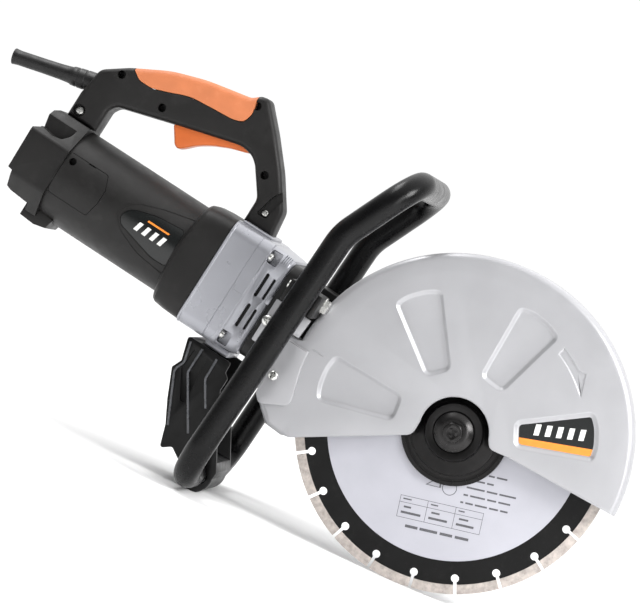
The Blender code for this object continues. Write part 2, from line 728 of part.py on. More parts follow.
def guard_ring(inset, opened, y):
    """The guard's side outline at one depth: the rim arc, the neck, the lower edge and the hub recess."""
    radius = GUARD_R - inset
    right = math.asin((15.7 - opened) / radius)
    arc = np.linspace(right, math.pi + math.asin((8.0 - inset) / radius), 31)
    points = [(radius * math.cos(a), radius * math.sin(a)) for a in arc]
    points += [(-181.0 + inset, -8.0 - inset), (-181.0 + inset, -64.0)]
    points += [
        (-168.0 + inset * 0.7, -79.0 + inset * 0.7), (-154.0 + inset * 0.5, -91.0 + inset),
        (-136.0, -92.0 + inset),
    ]
    drop = Vector((0.565, -0.825)) * opened
    points += [(-128.0 + drop.x, -89.5 + drop.y)]
    recess = RECESS_R - opened
    start, end = math.radians(205.0), math.radians(4.0)
    points += [(-42.0 + drop.x, -30.5 + drop.y)]
    points += [(recess * math.cos(a), recess * math.sin(a)) for a in np.linspace(start, end, 11)]
    points += [(42.0, 4.0 - opened), (56.0, 8.5 - opened)]
    return [Vector((x, y, z)) for x, z in points]


def guard_shell():
    """Near wall, rolled rim and far wall in one pressing, open below the blade's middle."""
    steps = [(8.0, GUARD_NEAR), (3.0, -56.6), (0.0, -51.5), (0.0, GUARD_FAR)]
    outer = loft([guard_ring(inset, 0.0, y) for inset, y in steps])
    steps = [(8.8, -56.0), (4.2, -54.8), (2.0, -50.8), (2.0, -16.0)]
    inner = loft([guard_ring(inset, 22.0, y) for inset, y in steps])
    body = cut(outer, inner)
    body = cut(body, cylinder(22.0, -30.0, 0.0, count=24))
    body = cut(body, cylinder(3.0, -62.0, -54.0, "Y", (-171.0, -48.0), 12))
    return finished(body, "guard_shell", SILVER)


def guard_plates():
    """The neck's cover plate with its screw, and the bracket that ties the guard to the gear case."""
    outline = rounded(
        [
            (-177.0, -11.0), (-155.0, -11.0), (-152.5, -28.0), (-143.0, -60.0),
            (-146.0, -66.0), (-169.0, -78.0), (-177.0, -70.0),
        ],
        [1.0, 1.0, 4.0, 4.0, 4.0, 3.0, 3.0],
        3,
    )
    body = cut(prism(outline, -60.0, GUARD_NEAR - GAP), cylinder(2.8, -62.0, -54.0, "Y", (-171.0, -48.0), 12))
    finished(body, "guard_neck_plate", SILVER)
    finished(pan_screw(4.6, 2.6, 2.3, 7.0, "Y", (-171.0, -48.0), -60.3, 1), "guard_screw", ZINC)
    outline = [
        (-208.0, -31.0), (-181.8, -31.0), (-181.8, -6.0), (-170.5, -6.0), (-169.5, 14.0),
        (-208.0, 14.0),
    ]
    body = cut(prism(outline, -55.5, -50.5), cylinder(3.3, -60.0, -45.0, "Y", (-204.0, -8.0), 12))
    finished(body, "guard_bracket", SILVER)
    finished(pan_screw(5.6, 4.0, 2.9, 4.6, "Y", (-204.0, -8.0), -55.8, 1), "bracket_bolt", ZINC)


# ---------------------------------------------------------------- hoop, clamps and stand


def hoop_handle():
    corners = [
        (BAR_LOW[0], -LEG_Y, BAR_LOW[1]), (BAR_LOW[0], LEG_Y, BAR_LOW[1]),
        (LEG_BEND[0], LEG_Y, LEG_BEND[1]),
    ]
    corners += [
        (BAR_TOP[0], LEG_Y, BAR_TOP[1]), (BAR_TOP[0], -LEG_Y, BAR_TOP[1]),
        (LEG_BEND[0], -LEG_Y, LEG_BEND[1]),
    ]
    path = rounded(corners, [34.0, 34.0, 55.0, 34.0, 34.0, 55.0], 4)
    return finished(swept_tube(path, TUBE_R, 12), "hoop_handle", TUBE)


def hoop_clamps():
    """A block from the gear case to each leg of the hoop, cradling the tube, with a bolt through it."""
    for side, word in ((-1, "left"), (1, "right")):
        low, high = sorted((side * 50.3, side * 96.0))
        body = block((-200.0, low, 18.0), (-166.0, high, 41.0), 1.5)
        cradle = cylinder(TUBE_R + GAP, -30.0, 30.0, "Z", (0.0, 0.0), 24)
        lean = math.atan2(LEG_BEND[0] - BAR_LOW[0], LEG_BEND[1] - BAR_LOW[1])
        share = (29.5 - BAR_LOW[1]) / (LEG_BEND[1] - BAR_LOW[1])
        leg_x = BAR_LOW[0] + share * (LEG_BEND[0] - BAR_LOW[0])
        bmesh.ops.rotate(cradle, verts=cradle.verts, matrix=Matrix.Rotation(lean, 3, "Y"))
        bmesh.ops.translate(cradle, verts=cradle.verts, vec=(leg_x, side * LEG_Y, 29.5))
        spot = (side * 64.5, 33.0)
        body = cut(body, cradle, cylinder(4.3, -210.0, -150.0, "X", spot, 16))
        finished(body, f"hoop_clamp_{word}", CASTING)
        hexagon = [(spot[0] + y, spot[1] + z) for y, z in circle(13.0 / math.sqrt(3), 6)]
        head = prism(hexagon, -165.7, -160.4, "X")
        bolt = joined(head, cylinder(4.0, -205.0, -165.6, "X", spot, 16))
        finished(bolt, f"clamp_bolt_{word}", ZINC)


def stand_bracket():
    """A ribbed channel from the gear housing's foot down and forward to the hoop's lower bar."""
    rear = [
        (-263.0, -62.4), (-256.0, -86.0), (-260.5, -96.0), (-247.5, -124.5), (-236.0, -145.5),
        (-228.6, -167.5), (-218.8, -160.0),
    ]
    front = [
        (-203.0, -169.5), (-172.0, -169.5), (-166.0, -146.0), (-179.0, -121.0), (-209.0, -77.0),
        (-214.0, -73.0), (-214.5, -62.4),
    ]
    body = prism(rear + front, -40.0, 40.0)
    space = [
        (-250.0, -58.0), (-248.0, -92.0), (-212.0, -150.0), (-150.0, -150.0), (-150.0, -100.0),
        (-200.0, -58.0),
    ]
    window = [(-251.0, -70.0), (-252.0, -92.0), (-230.0, -130.0), (-236.0, -70.0)]
    body = cut(body, prism(space, -35.0, 35.0), prism(window, -60.0, 60.0))
    body = cut(body, cylinder(TUBE_R + GAP, -60.0, 60.0, "Y", BAR_LOW, 24))
    return finished(body, "stand_bracket", BLACK)


def floor_height(x):
    """The height of the floor in the tool frame under a place along the motor's axis."""
    return (-FLOOR_BELOW + x * math.sin(TILT)) / math.cos(TILT)


def foot_pad():
    outline = [
        (-203.0, -170.0), (-172.0, -170.0), (-172.0, floor_height(-172.0)),
        (-203.0, floor_height(-203.0)),
    ]
    body = cut(prism(outline, -38.0, 38.0), cylinder(TUBE_R + GAP, -60.0, 60.0, "Y", BAR_LOW, 24))
    return finished(body, "foot_pad", RUBBER)


# ---------------------------------------------------------------- D handle, switch and cord guard

HANDLE_OUTER = [
    (-484.6, 50.4), (-484.6, 75.0), (-480.3, 104.0), (-456.0, 121.0), (-420.0, 140.0),
    (-385.0, 151.0),
]
HANDLE_OUTER += [
    (-340.0, 160.0), (-331.0, 167.5), (-325.0, 168.5), (-301.0, 144.0), (-276.0, 115.0),
    (-254.0, 84.0), (-250.5, 57.0),
]
GRIP_LOW = [
    (-456.5, 117.0), (-446.0, 113.5), (-434.0, 113.5), (-416.0, 119.0), (-396.0, 127.0),
    (-372.0, 131.0), (-348.0, 133.5), (-338.0, 138.0), (-335.0, 149.0),
]


def handle_outline():
    """The D handle's whole side outline, down the front leg, round the finger opening and up the rear leg."""
    inner = [(-282.5, 57.0), (-282.5, 81.0), (-302.0, 107.0), (-309.0, 113.0), (-322.5, 116.0)]
    inner += [(-392.0, 97.5), (-447.0, 82.0), (-451.5, 74.0), (-451.5, 50.4)]
    return HANDLE_OUTER + rounded(inner, [0, 8, 0, 0, 0, 0, 0, 0, 0], 2)


def handle_prism(low, high, inset=0.0):
    return prism(shrunk(handle_outline(), inset), low, high)


def on_the_side(edge):
    return all(abs(abs(vertex.co.y) - GRIP_HALF) < 0.01 for vertex in edge.verts)


def grip_zone(half, grow=0.0):
    """Everything above the grip's lower line, as wide as asked."""
    low = [(x + (grow if x > -340 else 0.0), z - grow) for x, z in GRIP_LOW]
    low[0] = (low[0][0] - grow, low[0][1])
    return prism(low + [(-334.0 + grow, 190.0), (-456.5 - grow, 190.0)], -half, half)


def handle_shells():
    """Two hollow halves that meet on the tool's middle plane, cut for the trigger, grip, cord and screws."""
    slot = [
        (-395.0, 70.0), (-395.0, 116.0), (-311.0, 128.0), (-308.5, 118.0), (-312.0, 100.0),
        (-340.0, 70.0),
    ]
    wells = [
        (-459.0, 111.0, 4.2), (-408.0, 105.0, 4.2), (-330.0, 156.0, 4.2), (-288.0, 104.0, 4.2),
        (-476.0, 59.5, 6.4),
    ]
    for side, word in ((-1, "left"), (1, "right")):
        low, high = sorted((side * 0.15, side * GRIP_HALF))
        body = handle_prism(low, high)
        soften(body, 4.0, 1, on_the_side)
        low, high = sorted((0.0, side * (GRIP_HALF - GRIP_WALL)))
        body = cut(body, handle_prism(low, high, GRIP_WALL + 0.5))
        body = cut(body, prism(slot, -TRIGGER_HALF - 0.5, TRIGGER_HALF + 0.5))
        body = cut(body, cut(grip_zone(30.0, GAP), handle_prism(-12.7, 12.7, 3.3)))
        body = cut(body, cord_bore())
        for x, z, radius in wells:
            depth = 4.0
            low, high = sorted((side * (GRIP_HALF - depth), side * 30.0))
            body = cut(body, cylinder(radius, low, high, "Y", (x, z), 10))
        if side > 0:
            body = cut(body, cylinder(6.4, 5.0, 30.0, "Y", (-424.0, 105.0), 16))
        finished(body, f"handle_shell_{word}", BLACK)
    finished(pan_screw(4.6, 2.2, 1.0, 0.4, "Y", (-476.0, 59.5), -12.8, 1), "handle_screw", ZINC)


def grip_pad():
    body = handle_prism(-GRIP_HALF, GRIP_HALF)
    soften(body, 4.0, 1, on_the_side)
    body = common(body, grip_zone(40.0))
    return finished(cut(body, handle_prism(-13.0, 13.0, 3.0)), "grip_pad", ORANGE)


def trigger():
    face = [
        (-391.0, 97.0), (-379.6, 81.3), (-376.0, 79.3), (-370.7, 83.2), (-361.4, 92.8),
        (-349.3, 100.2), (-333.7, 107.2), (-319.0, 111.6),
    ]
    top = [(-312.8, 114.0), (-311.8, 118.5), (-316.0, 122.6), (-328.0, 120.5), (-388.0, 104.5)]
    body = prism(face + top, -TRIGGER_HALF, TRIGGER_HALF)
    soften(body, 1.5, 1, lambda edge: min(v.co.z for v in edge.verts) < 112.0)
    return finished(body, "trigger", ORANGE, TRIGGER_AXIS)


def switch_module():
    outline = [(-385.0, 118.0), (-340.0, 131.0), (-344.0, 145.5), (-389.0, 132.5)]
    return finished(prism(outline, -8.5, 8.5), "switch_module", BLACK)


def buttons():
    body = turned([(9.0, 0.0), (9.0, 6.0), (18.2, 6.0), (19.4, 4.8), (19.4, 0.0)], "Y", (-424.0, 105.0), 16)
    finished(body, "lock_off_button", ORANGE, LOCK_OFF_AXIS)
    profile = [(33.5, 0.0), (33.5, 3.9), (49.5, 3.9), (49.5, 7.0), (53.0, 7.0), (54.2, 5.6), (54.2, 0.0)]
    body = turned(profile, "Z", (0.0, 20.0), 16)
    finished(body, "spindle_lock_button", ORANGE, SPINDLE_LOCK_AXIS)


CORD_FROM = Vector((-474.0, 0.0, 91.0))
CORD_TO = Vector((-564.0, 0.0, 68.5))


def along_cord(profile, count):
    """A profile of (distance, radius) turned on the cord's way out of the handle."""
    body = turned(profile, "X", count=count)
    way = (CORD_TO - CORD_FROM).normalized()
    turn = Vector((1.0, 0.0, 0.0)).rotation_difference(way).to_matrix()
    bmesh.ops.rotate(body, verts=body.verts, matrix=turn)
    bmesh.ops.translate(body, verts=body.verts, vec=CORD_FROM)
    return body


def cord_bore():
    return along_cord([(-12.0, 0.0), (-12.0, 10.3), (60.0, 10.3), (60.0, 0.0)], 20)


def cord_guard():
    profile = [
        (0.0, 5.0), (0.0, 10.0), (12.0, 10.0), (26.0, 8.2), (30.0, 7.6), (88.0, 7.4), (92.5, 7.9),
        (92.5, 5.2),
    ]
    return finished(along_cord(profile, 16), "cord_guard", RUBBER)


# ---------------------------------------------------------------- assembly


def rest_on_floor():
    """Moves the tool so that the origin is under the middle of its box."""
    bpy.context.view_layer.update()
    points = []
    for made in bpy.data.objects:
        if made.type == "MESH":
            points += [made.matrix_world @ vertex.co for vertex in made.data.vertices]
    spots = np.array(points)
    low, high = spots.min(axis=0), spots.max(axis=0)
    TOOL.location = -Vector((*((low + high)[:2] / 2), low[2]))
    bpy.context.view_layer.update()


def main():
    motor_housing()
    motor_trim()
    rear_cover()
    stator()
    bearing("motor_bearing_rear", 4.3, 11.0, -445.5, -438.5, "X")
    bearing("motor_bearing_front", 5.3, 13.0, -230.0, -221.5, "X")
    brushes()
    armature()
    gear_housing()
    housing_screws()
    gear_case()
    gear_case_cover()
    bearing("drive_bearing_rear", 4.2, 9.5, -229.0, -219.0, "X", (SHAFT_Y, 0.0))
    bearing("drive_bearing_front", 5.3, 13.0, -56.5, -47.5, "X", (SHAFT_Y, 0.0))
    bearing("spindle_bearing_inner", 8.3, 17.5, -11.0, -2.0, "Y")
    bearing("spindle_bearing_outer", 6.3, 13.0, 43.0, 52.0, "Y")
    pinion_shaft()
    bevel_wheel()
    spindle()
    blade()
    flanges()
    guard_shell()
    guard_plates()
    hoop_handle()
    hoop_clamps()
    stand_bracket()
    foot_pad()
    handle_shells()
    grip_pad()
    trigger()
    switch_module()
    buttons()
    cord_guard()
    rest_on_floor()


main()
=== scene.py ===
"""The looks of the concrete cut-off saw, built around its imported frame.

Shapes are given in the tool's own frame, in millimetres: X along the motor's axis towards the blade, Y across
the tool with the guard's open face at -Y, Z up, and the origin in the middle of the spindle. TOOL carries
them into the frame's metres, where the saw stands nose-down on its blade and its foot.
"""

import json
import math

import bmesh
import bpy
import numpy as np
from mathutils import Matrix, Vector


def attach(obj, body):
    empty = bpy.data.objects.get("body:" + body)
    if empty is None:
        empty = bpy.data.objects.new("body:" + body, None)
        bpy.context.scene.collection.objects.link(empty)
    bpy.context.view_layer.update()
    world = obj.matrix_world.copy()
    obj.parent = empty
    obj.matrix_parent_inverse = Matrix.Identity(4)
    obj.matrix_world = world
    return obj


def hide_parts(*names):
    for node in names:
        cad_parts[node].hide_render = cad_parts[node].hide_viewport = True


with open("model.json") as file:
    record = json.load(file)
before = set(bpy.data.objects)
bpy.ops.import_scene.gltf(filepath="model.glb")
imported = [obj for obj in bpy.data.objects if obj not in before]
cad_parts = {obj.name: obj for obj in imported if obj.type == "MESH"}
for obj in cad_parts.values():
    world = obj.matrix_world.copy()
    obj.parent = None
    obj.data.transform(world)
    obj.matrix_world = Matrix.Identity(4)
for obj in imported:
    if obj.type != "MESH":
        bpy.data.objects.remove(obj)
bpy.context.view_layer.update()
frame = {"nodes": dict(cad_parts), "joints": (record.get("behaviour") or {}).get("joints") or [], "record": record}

MM = 0.001
GAP = 0.3  # kept between touching pieces
FINE = 96  # sides of a large round surface
CROSS_TURN = math.radians(20)

JOINTS = {joint["name"]: joint for joint in frame["joints"]}
HUB = Vector(JOINTS["blade_spin"]["pos_m"])
FORWARD = Vector(JOINTS["drive_spin"]["axis"])
ACROSS = Vector((0, 1, 0))
UPWARD = FORWARD.cross(ACROSS)
TURN = Matrix((FORWARD, ACROSS, UPWARD)).transposed().to_4x4()
TOOL = Matrix.Translation(HUB) @ TURN @ Matrix.Scale(MM, 4)

SIDES = ((-1, "left"), (1, "right"))

BLADE_R = 152.5
BLADE_Y = -37
CORE_HALF = 1.05
SEGMENT_HALF = 1.25
SLOTS = 22
SLOT_W = 3
KEYHOLE_AT = 137.6
KEYHOLE_R = 3.8
SLOT_PHASE = math.radians(8.05)
SEGMENT_R = 143.5
LABEL_R = 121.5
FLANGE_R = 51

GUARD_R = 167.5
GUARD_NEAR = -58
GUARD_FAR = -14
RECESS_R = 33
WINDOW_DEPTH = 3.2
WINDOW_AT = (190, 137.4, 84.8, 31.2)  # degrees round the spindle

BARREL_R = 48
SEAM = -454.6
BADGE_R = 47.6
PRINT_R = BADGE_R + 0.15
BRUSH_SCREW = (-447, 16.5)
HOUSING_SCREW = (44.5, 43)

TUBE_R = 12.7
LEG_Y = 101
BAR_LOW = (-187.5, -169.5)  # the hoop's corners, as (x, z)
LEG_BEND = (-181.2, 100)
BAR_TOP = (-147.6, 177.4)
BEND_R = 34
LEG_BEND_R = 55
CLAMP_Z = 29.5

GRIP_HALF = 16
TRIGGER_HALF = 9
HANDLE_SCREW = (-476, 59.5)
LEG_SCREW = (-268.4, 73.2)
LOCK_OFF = (-424, 105)
SPINDLE_LOCK = (0, 20)

FLOOR_HALF = 12  # metres
FLOOR_GAP = 0.0004


# ---- materials


def fill(tree, node, inputs):
    """Gives each input its value, or links it from an output."""
    for name, value in inputs.items():
        if isinstance(value, bpy.types.NodeSocket):
            tree.links.new(value, node.inputs[name])
        else:
            node.inputs[name].default_value = value
    return node


def add_node(tree, kind, inputs):
    return fill(tree, tree.nodes.new("ShaderNode" + kind), inputs)


class Nodes:
    """A material's node tree, with short ways to add what the looks need. Sizes are in millimetres."""

    def __init__(self, name, color, roughness, metallic=0, specular=0.5, coat=0):
        self.material = bpy.data.materials.new(name)
        self.material.use_nodes = True
        self.material.diffuse_color = (*color, 1)
        self.tree = self.material.node_tree
        self.shader = self.tree.nodes["Principled BSDF"]
        self.shade({"Base Color": (*color, 1), "Roughness": roughness, "Metallic": metallic})
        self.shade({"Specular IOR Level": specular, "Coat Weight": coat, "Coat Roughness": 0.15})
        self.coordinates = self.tree.nodes.new("ShaderNodeTexCoord").outputs["Object"]
        self.color = color
        self.roughness = roughness
        self.normal = None

    def shade(self, inputs):
        fill(self.tree, self.shader, inputs)

    def noise(self, size, detail=3, stretch=None, roughness=0.5):
        """Noise whose lumps are about size millimetres across."""
        source = self.coordinates
        if stretch:
            source = add_node(self.tree, "Mapping", {"Vector": source, "Scale": stretch}).outputs["Vector"]
        inputs = {"Vector": source, "Scale": 1000 / size, "Detail": detail, "Roughness": roughness}
        return add_node(self.tree, "TexNoise", inputs).outputs["Fac"]

    def ramp(self, value, low, high, out_low=0, out_high=1):
        inputs = {"Value": value, "From Min": low, "From Max": high, "To Min": out_low, "To Max": out_high}
        return add_node(self.tree, "MapRange", inputs).outputs["Result"]

    def mix(self, share, first, second):
        node = self.tree.nodes.new("ShaderNodeMix")
        node.data_type = "RGBA"
        first, second = ((*c, 1) if isinstance(c, tuple) else c for c in (first, second))
        return fill(self.tree, node, {"Factor": share, 6: first, 7: second}).outputs[2]

    def mottle(self, amount, size):
        """The base colour drifts a little lighter and darker over the surface."""
        share = self.ramp(self.noise(size, 4), 0.3, 0.7)
        dark = tuple(c * (1 - amount) for c in self.color)
        light = tuple(min(1, c * (1 + amount)) for c in self.color)
        self.base = self.mix(share, dark, light)
        self.shade({"Base Color": self.base})
        return self

    def dust(self, color, amount, size):
        """Thin scuffs and dust in patches over the base colour."""
        share = self.ramp(self.noise(size, 6, roughness=0.65), 0.55, 0.8, 0, amount)
        self.base = self.mix(share, self.base, color)
        self.shade({"Base Color": self.base})
        return self

    def uneven(self, spread, size):
        """Roughness drifts either side of its own value."""
        low, high = self.roughness - spread, self.roughness + spread
        self.shade({"Roughness": self.ramp(self.noise(size, 3), 0.3, 0.7, low, high)})
        return self

    def bump(self, height, depth):
        """A bump of depth millimetres, laid over any bump already there."""
        inputs = {"Height": height, "Distance": depth * MM, "Strength": 1}
        if self.normal is not None:
            inputs["Normal"] = self.normal
        self.normal = add_node(self.tree, "Bump", inputs).outputs["Normal"]
        self.shade({"Normal": self.normal})
        return self

    def grain(self, size, depth, detail=2, stretch=None):
        return self.bump(self.noise(size, detail, stretch), depth)


LOOKS = {}


def new_look(key, name, *base, **extra):
    """A new material, kept in LOOKS under its key."""
    made = Nodes(name, *base, **extra)
    LOOKS[key] = made.material
    return made


def painted(key, name, color, *base, **extra):
    made = new_look(key, name, color, *base, **extra).mottle(0.05, 60)
    made.dust(tuple(c * 0.88 for c in color), 0.12, 1.6).uneven(0.05, 25)
    made.grain(1.6, 0.012).grain(0.4, 0.005)


def turned_metal(key, name, color, roughness):
    """Machined steel with fine rings round the spindle and a little staining."""
    made = new_look(key, name, color, roughness, 0.85)
    made.mottle(0.12, 9).dust(tuple(c * 1.6 for c in color), 0.2, 1.8).uneven(0.07, 7)
    shift = add_node(made.tree, "Mapping", {"Vector": made.coordinates, "Location": -HUB})
    inputs = {"Vector": shift.outputs["Vector"], "Scale": 260, "Distortion": 0.6}
    wave = add_node(made.tree, "TexWave", inputs)
    wave.wave_type = "RINGS"
    wave.rings_direction = "Y"
    made.bump(wave.outputs["Fac"], 0.02).grain(0.7, 0.012)


def make_looks():
    """Every look by name: a base colour with mottling, dust, uneven roughness and a fine bump."""
    made = new_look("black_plastic", "moulded_black", (0.0096, 0.009, 0.0087), 0.47, specular=0.3)
    made.mottle(0.16, 35).dust((0.06, 0.058, 0.056), 0.2, 22).uneven(0.07, 12)
    made.grain(1.1, 0.05).grain(0.35, 0.02)
    made = new_look("gloss_plastic", "gloss_black", (0.0042, 0.0042, 0.0043), 0.4, specular=0.22)
    made.mottle(0.2, 12).dust((0.02, 0.02, 0.02), 0.15, 2).uneven(0.06, 8).grain(1.5, 0.05)
    # painted highlight: a grey far lighter than the black plastic, for the stand's raised ribs, standing in for
    # the light they catch; random lighter patches over it
    made = new_look("highlit_rib_plastic", "rib_highlight_grey", (0.075, 0.078, 0.085), 0.3, specular=0.5).mottle(0.3, 8)
    made.dust((0.16, 0.16, 0.17), 0.4, 4).uneven(0.08, 6).grain(1.2, 0.04)
    new_look("glossy_black", "badge_black", (0.006, 0.007, 0.007), 0.22).mottle(0.1, 9).grain(6, 0.01)
    made = new_look("orange_grip", "grip_orange", (0.56, 0.175, 0.066), 0.6).mottle(0.07, 18)
    made.dust((0.66, 0.3, 0.16), 0.2, 9).uneven(0.06, 8).grain(0.9, 0.06)
    made = new_look("orange_rubber", "trigger_orange", (0.6, 0.125, 0.018), 0.42).mottle(0.06, 15)
    made.dust((0.66, 0.2, 0.06), 0.15, 7).uneven(0.06, 8).grain(1.1, 0.03)
    painted("silver_paint", "guard_silver", (0.37, 0.37, 0.385), 0.36, 0.3, coat=0.15)
    painted("silver_casting", "housing_silver", (0.34, 0.345, 0.375), 0.3, 0.45, coat=0.2)
    made = new_look("black_casting", "casting_black", (0.0085, 0.0083, 0.0083), 0.42, specular=0.3)
    made.mottle(0.2, 20).dust((0.04, 0.04, 0.04), 0.15, 12).uneven(0.08, 10).grain(1.8, 0.12)
    made = new_look("black_tube", "powder_coat", (0.0025, 0.0025, 0.0027), 0.27, specular=0.2).mottle(0.2, 40)
    made.dust((0.02, 0.02, 0.02), 0.12, 18).uneven(0.06, 14).grain(1.3, 0.07).grain(0.5, 0.02)
    made = new_look("zinc", "zinc_plate", (0.62, 0.62, 0.6), 0.28, 1).mottle(0.12, 5)
    made.dust((0.3, 0.28, 0.24), 0.35, 4).uneven(0.1, 4).grain(0.8, 0.02)
    turned_metal("gunmetal", "black_oxide", (0.03, 0.029, 0.029), 0.3)
    turned_metal("hub_dark", "flange_black", (0.014, 0.0135, 0.0135), 0.36)
    turned_metal("steel", "turned_steel", (0.42, 0.42, 0.43), 0.32)
    made = new_look("blade_steel", "blade_black", (0.0035, 0.0035, 0.0035), 0.4, specular=0.2)
    made.mottle(0.25, 20).dust((0.04, 0.038, 0.036), 0.18, 7).uneven(0.08, 9).grain(1, 0.02)
    # sintered metal with diamond grit: warm grey, coarse and speckled
    made = new_look("segment", "sintered_segment", (0.44, 0.395, 0.365), 0.62, 0.2).mottle(0.25, 5)
    made.dust((0.6, 0.57, 0.55), 0.6, 2.2).dust((0.16, 0.13, 0.12), 0.6, 1.4)
    made.grain(0.9, 0.12).grain(0.3, 0.05)
    # the pale printed disc: a faint sheen with very fine brushing
    made = new_look("label", "label_grey", (0.45, 0.45, 0.495), 0.42, 0.15).mottle(0.035, 30)
    made.uneven(0.05, 10).grain(2.2, 0.02).grain(0.5, 0.012)
    new_look("print_grey", "print_grey", (0.09, 0.09, 0.1), 0.5).mottle(0.3, 0.8)
    new_look("print_white", "print_white", (0.78, 0.78, 0.76), 0.45).mottle(0.05, 4)
    new_look("print_orange", "print_orange", (0.85, 0.25, 0.03), 0.4).mottle(0.05, 5)
    made = new_look("copper", "enamelled_copper", (0.5, 0.17, 0.07), 0.35, 0.8, coat=0.4).mottle(0.2, 3)
    made.grain(1, 0.3, 1, (0.05, 1, 1))
    made = new_look("lamination", "laminations", (0.15, 0.15, 0.16), 0.45, 0.9).mottle(0.2, 4)
    made.grain(0.6, 0.1, 1, (1, 0.02, 0.02))
    new_look("carbon", "carbon", (0.02, 0.02, 0.02), 0.7).mottle(0.3, 2).grain(0.4, 0.04)
    made = new_look("rubber", "black_rubber", (0.009, 0.0088, 0.009), 0.42, specular=0.3).mottle(0.2, 14)
    made.dust((0.05, 0.05, 0.055), 0.2, 10).uneven(0.08, 9).grain(0.9, 0.03)


# ---- modelling tools


def at_axis(axis, across, up, along):
    """A point from its two coordinates across an axis and one along it."""
    if axis == "Y":
        return Vector((across, along, up))
    if axis == "X":
        return Vector((along, across, up))
    return Vector((across, up, along))


def place(bm, name, look, nodes=(), body="tool_body", angle=34):
    """A piece from a bmesh in millimetres, riding on its body and standing for its CAD nodes."""
    bmesh.ops.remove_doubles(bm, verts=bm.verts, dist=0.001)
    bmesh.ops.recalc_face_normals(bm, faces=bm.faces)
    mesh = bpy.data.meshes.new(name)
    bm.to_mesh(mesh)
    bm.free()
    mesh.transform(TOOL)
    mesh.materials.append(LOOKS[look])
    mesh.shade_smooth()
    mesh.set_sharp_from_angle(angle=math.radians(angle))
    made = bpy.data.objects.new(name, mesh)
    bpy.context.scene.collection.objects.link(made)
    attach(made, body)
    if nodes:
        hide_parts(*nodes)


def span(side, near, far):
    """Two distances from the middle, on one side of it, the lower first."""
    return sorted((side * near, side * far))


def combined(first, second, operation):
    """Two bmeshes joined, cut or intersected with the Boolean modifier; both are used up."""
    pair = []
    for number, bm in enumerate((first, second)):
        bmesh.ops.recalc_face_normals(bm, faces=bm.faces)
        mesh = bpy.data.meshes.new(f"boolean_{number}")
        bm.to_mesh(mesh)
        bm.free()
        made = bpy.data.objects.new(f"boolean_{number}", mesh)
        bpy.context.scene.collection.objects.link(made)
        pair.append(made)
    modifier = pair[0].modifiers.new("boolean", "BOOLEAN")
    modifier.operation = operation
    modifier.object = pair[1]
    evaluated = pair[0].evaluated_get(bpy.context.evaluated_depsgraph_get())
    result = bmesh.new()
    result.from_mesh(evaluated.to_mesh())
    evaluated.to_mesh_clear()
    for made in pair:
        mesh = made.data
        bpy.data.objects.remove(made)
        bpy.data.meshes.remove(mesh)
    bmesh.ops.remove_doubles(result, verts=result.verts, dist=0.002)
    return result


def cut(body, *cutters):
    for cutter in cutters:
        body = combined(body, cutter, "DIFFERENCE")
    return body


def joined(body, *others):
    for other in others:
        body = combined(body, other, "UNION")
    return body


def common(body, other):
    return combined(body, other, "INTERSECT")


def together(*parts):
    """Several bmeshes in one, without a Boolean."""
    result = bmesh.new()
    for part in parts:
        mesh = bpy.data.meshes.new("part")
        part.to_mesh(mesh)
        part.free()
        result.from_mesh(mesh)
        bpy.data.meshes.remove(mesh)
    return result


def prism(outline, low, high, axis="Y"):
    """An outline swept straight along an axis. Along Y it is (x, z), along X (y, z), along Z (x, y)."""
    return loft([[at_axis(axis, p[0], p[1], along) for p in outline] for along in (low, high)])


def soften(bm, width, segments=2, chosen=lambda edge: True, angle=30):
    """Bevels the sharp edges that chosen accepts."""
    bmesh.ops.dissolve_limit(bm, angle_limit=math.radians(0.5), verts=bm.verts, edges=bm.edges)
    sharp = [
        edge
        for edge in bm.edges
        if len(edge.link_faces) == 2 and edge.calc_face_angle() > math.radians(angle) and chosen(edge)
    ]
    bmesh.ops.bevel(
        bm, geom=sharp, offset=width, segments=segments, profile=0.5, affect="EDGES", clamp_overlap=True
    )
    return bm


def block(low, high, soft=0, segments=2):
    outline = [(low[0], low[2]), (high[0], low[2]), (high[0], high[2]), (low[0], high[2])]
    bm = prism(outline, low[1], high[1])
    if soft:
        soften(bm, soft, segments)
    return bm


def circle(radius, count, phase=0):
    turn = 2 * math.pi / count
    return [(radius * math.cos(phase + i * turn), radius * math.sin(phase + i * turn)) for i in range(count)]


def arc(radius, start, end, count):
    """Points along an arc round the origin, with its angles in degrees."""
    spread = np.radians(np.linspace(start, end, count))
    return [(radius * math.cos(a), radius * math.sin(a)) for a in spread]


def radial(angle):
    """The ways outwards and sideways at an angle."""
    way = Vector((math.cos(angle), math.sin(angle)))
    return way, Vector((-way.y, way.x))


def cylinder(radius, low, high, axis="Y", centre=(0, 0), count=32):
    outline = [(centre[0] + x, centre[1] + y) for x, y in circle(radius, count)]
    return prism(outline, low, high, axis)


def turned(profile, axis="Y", centre=(0, 0), count=64):
    """A profile of (along, radius) points, closed on itself or on the axis, spun round an axis."""
    rings = []
    for along, radius in profile:
        spots = circle(radius, count) if radius else [(0, 0)]
        rings.append([at_axis(axis, centre[0] + x, centre[1] + y, along) for x, y in spots])
    return skinned(rings, bool(profile[0][1] and profile[-1][1]))


def skinned(rings, loop=False):
    """Faces through rings in order; a ring may be a single point."""
    bm = bmesh.new()
    made = [[bm.verts.new(point) for point in ring] for ring in rings]
    pairs = list(zip(made, made[1:]))
    if loop:
        pairs.append((made[-1], made[0]))
    for first, second in pairs:
        count = max(len(first), len(second))
        for i in range(count):
            j = (i + 1) % count
            corners = [first[i % len(first)], first[j % len(first)]]
            corners += [second[j % len(second)], second[i % len(second)]]
            unique = list(dict.fromkeys(corners))
            if len(unique) > 2:
                bm.faces.new(unique)
    bmesh.ops.recalc_face_normals(bm, faces=bm.faces)
    return bm


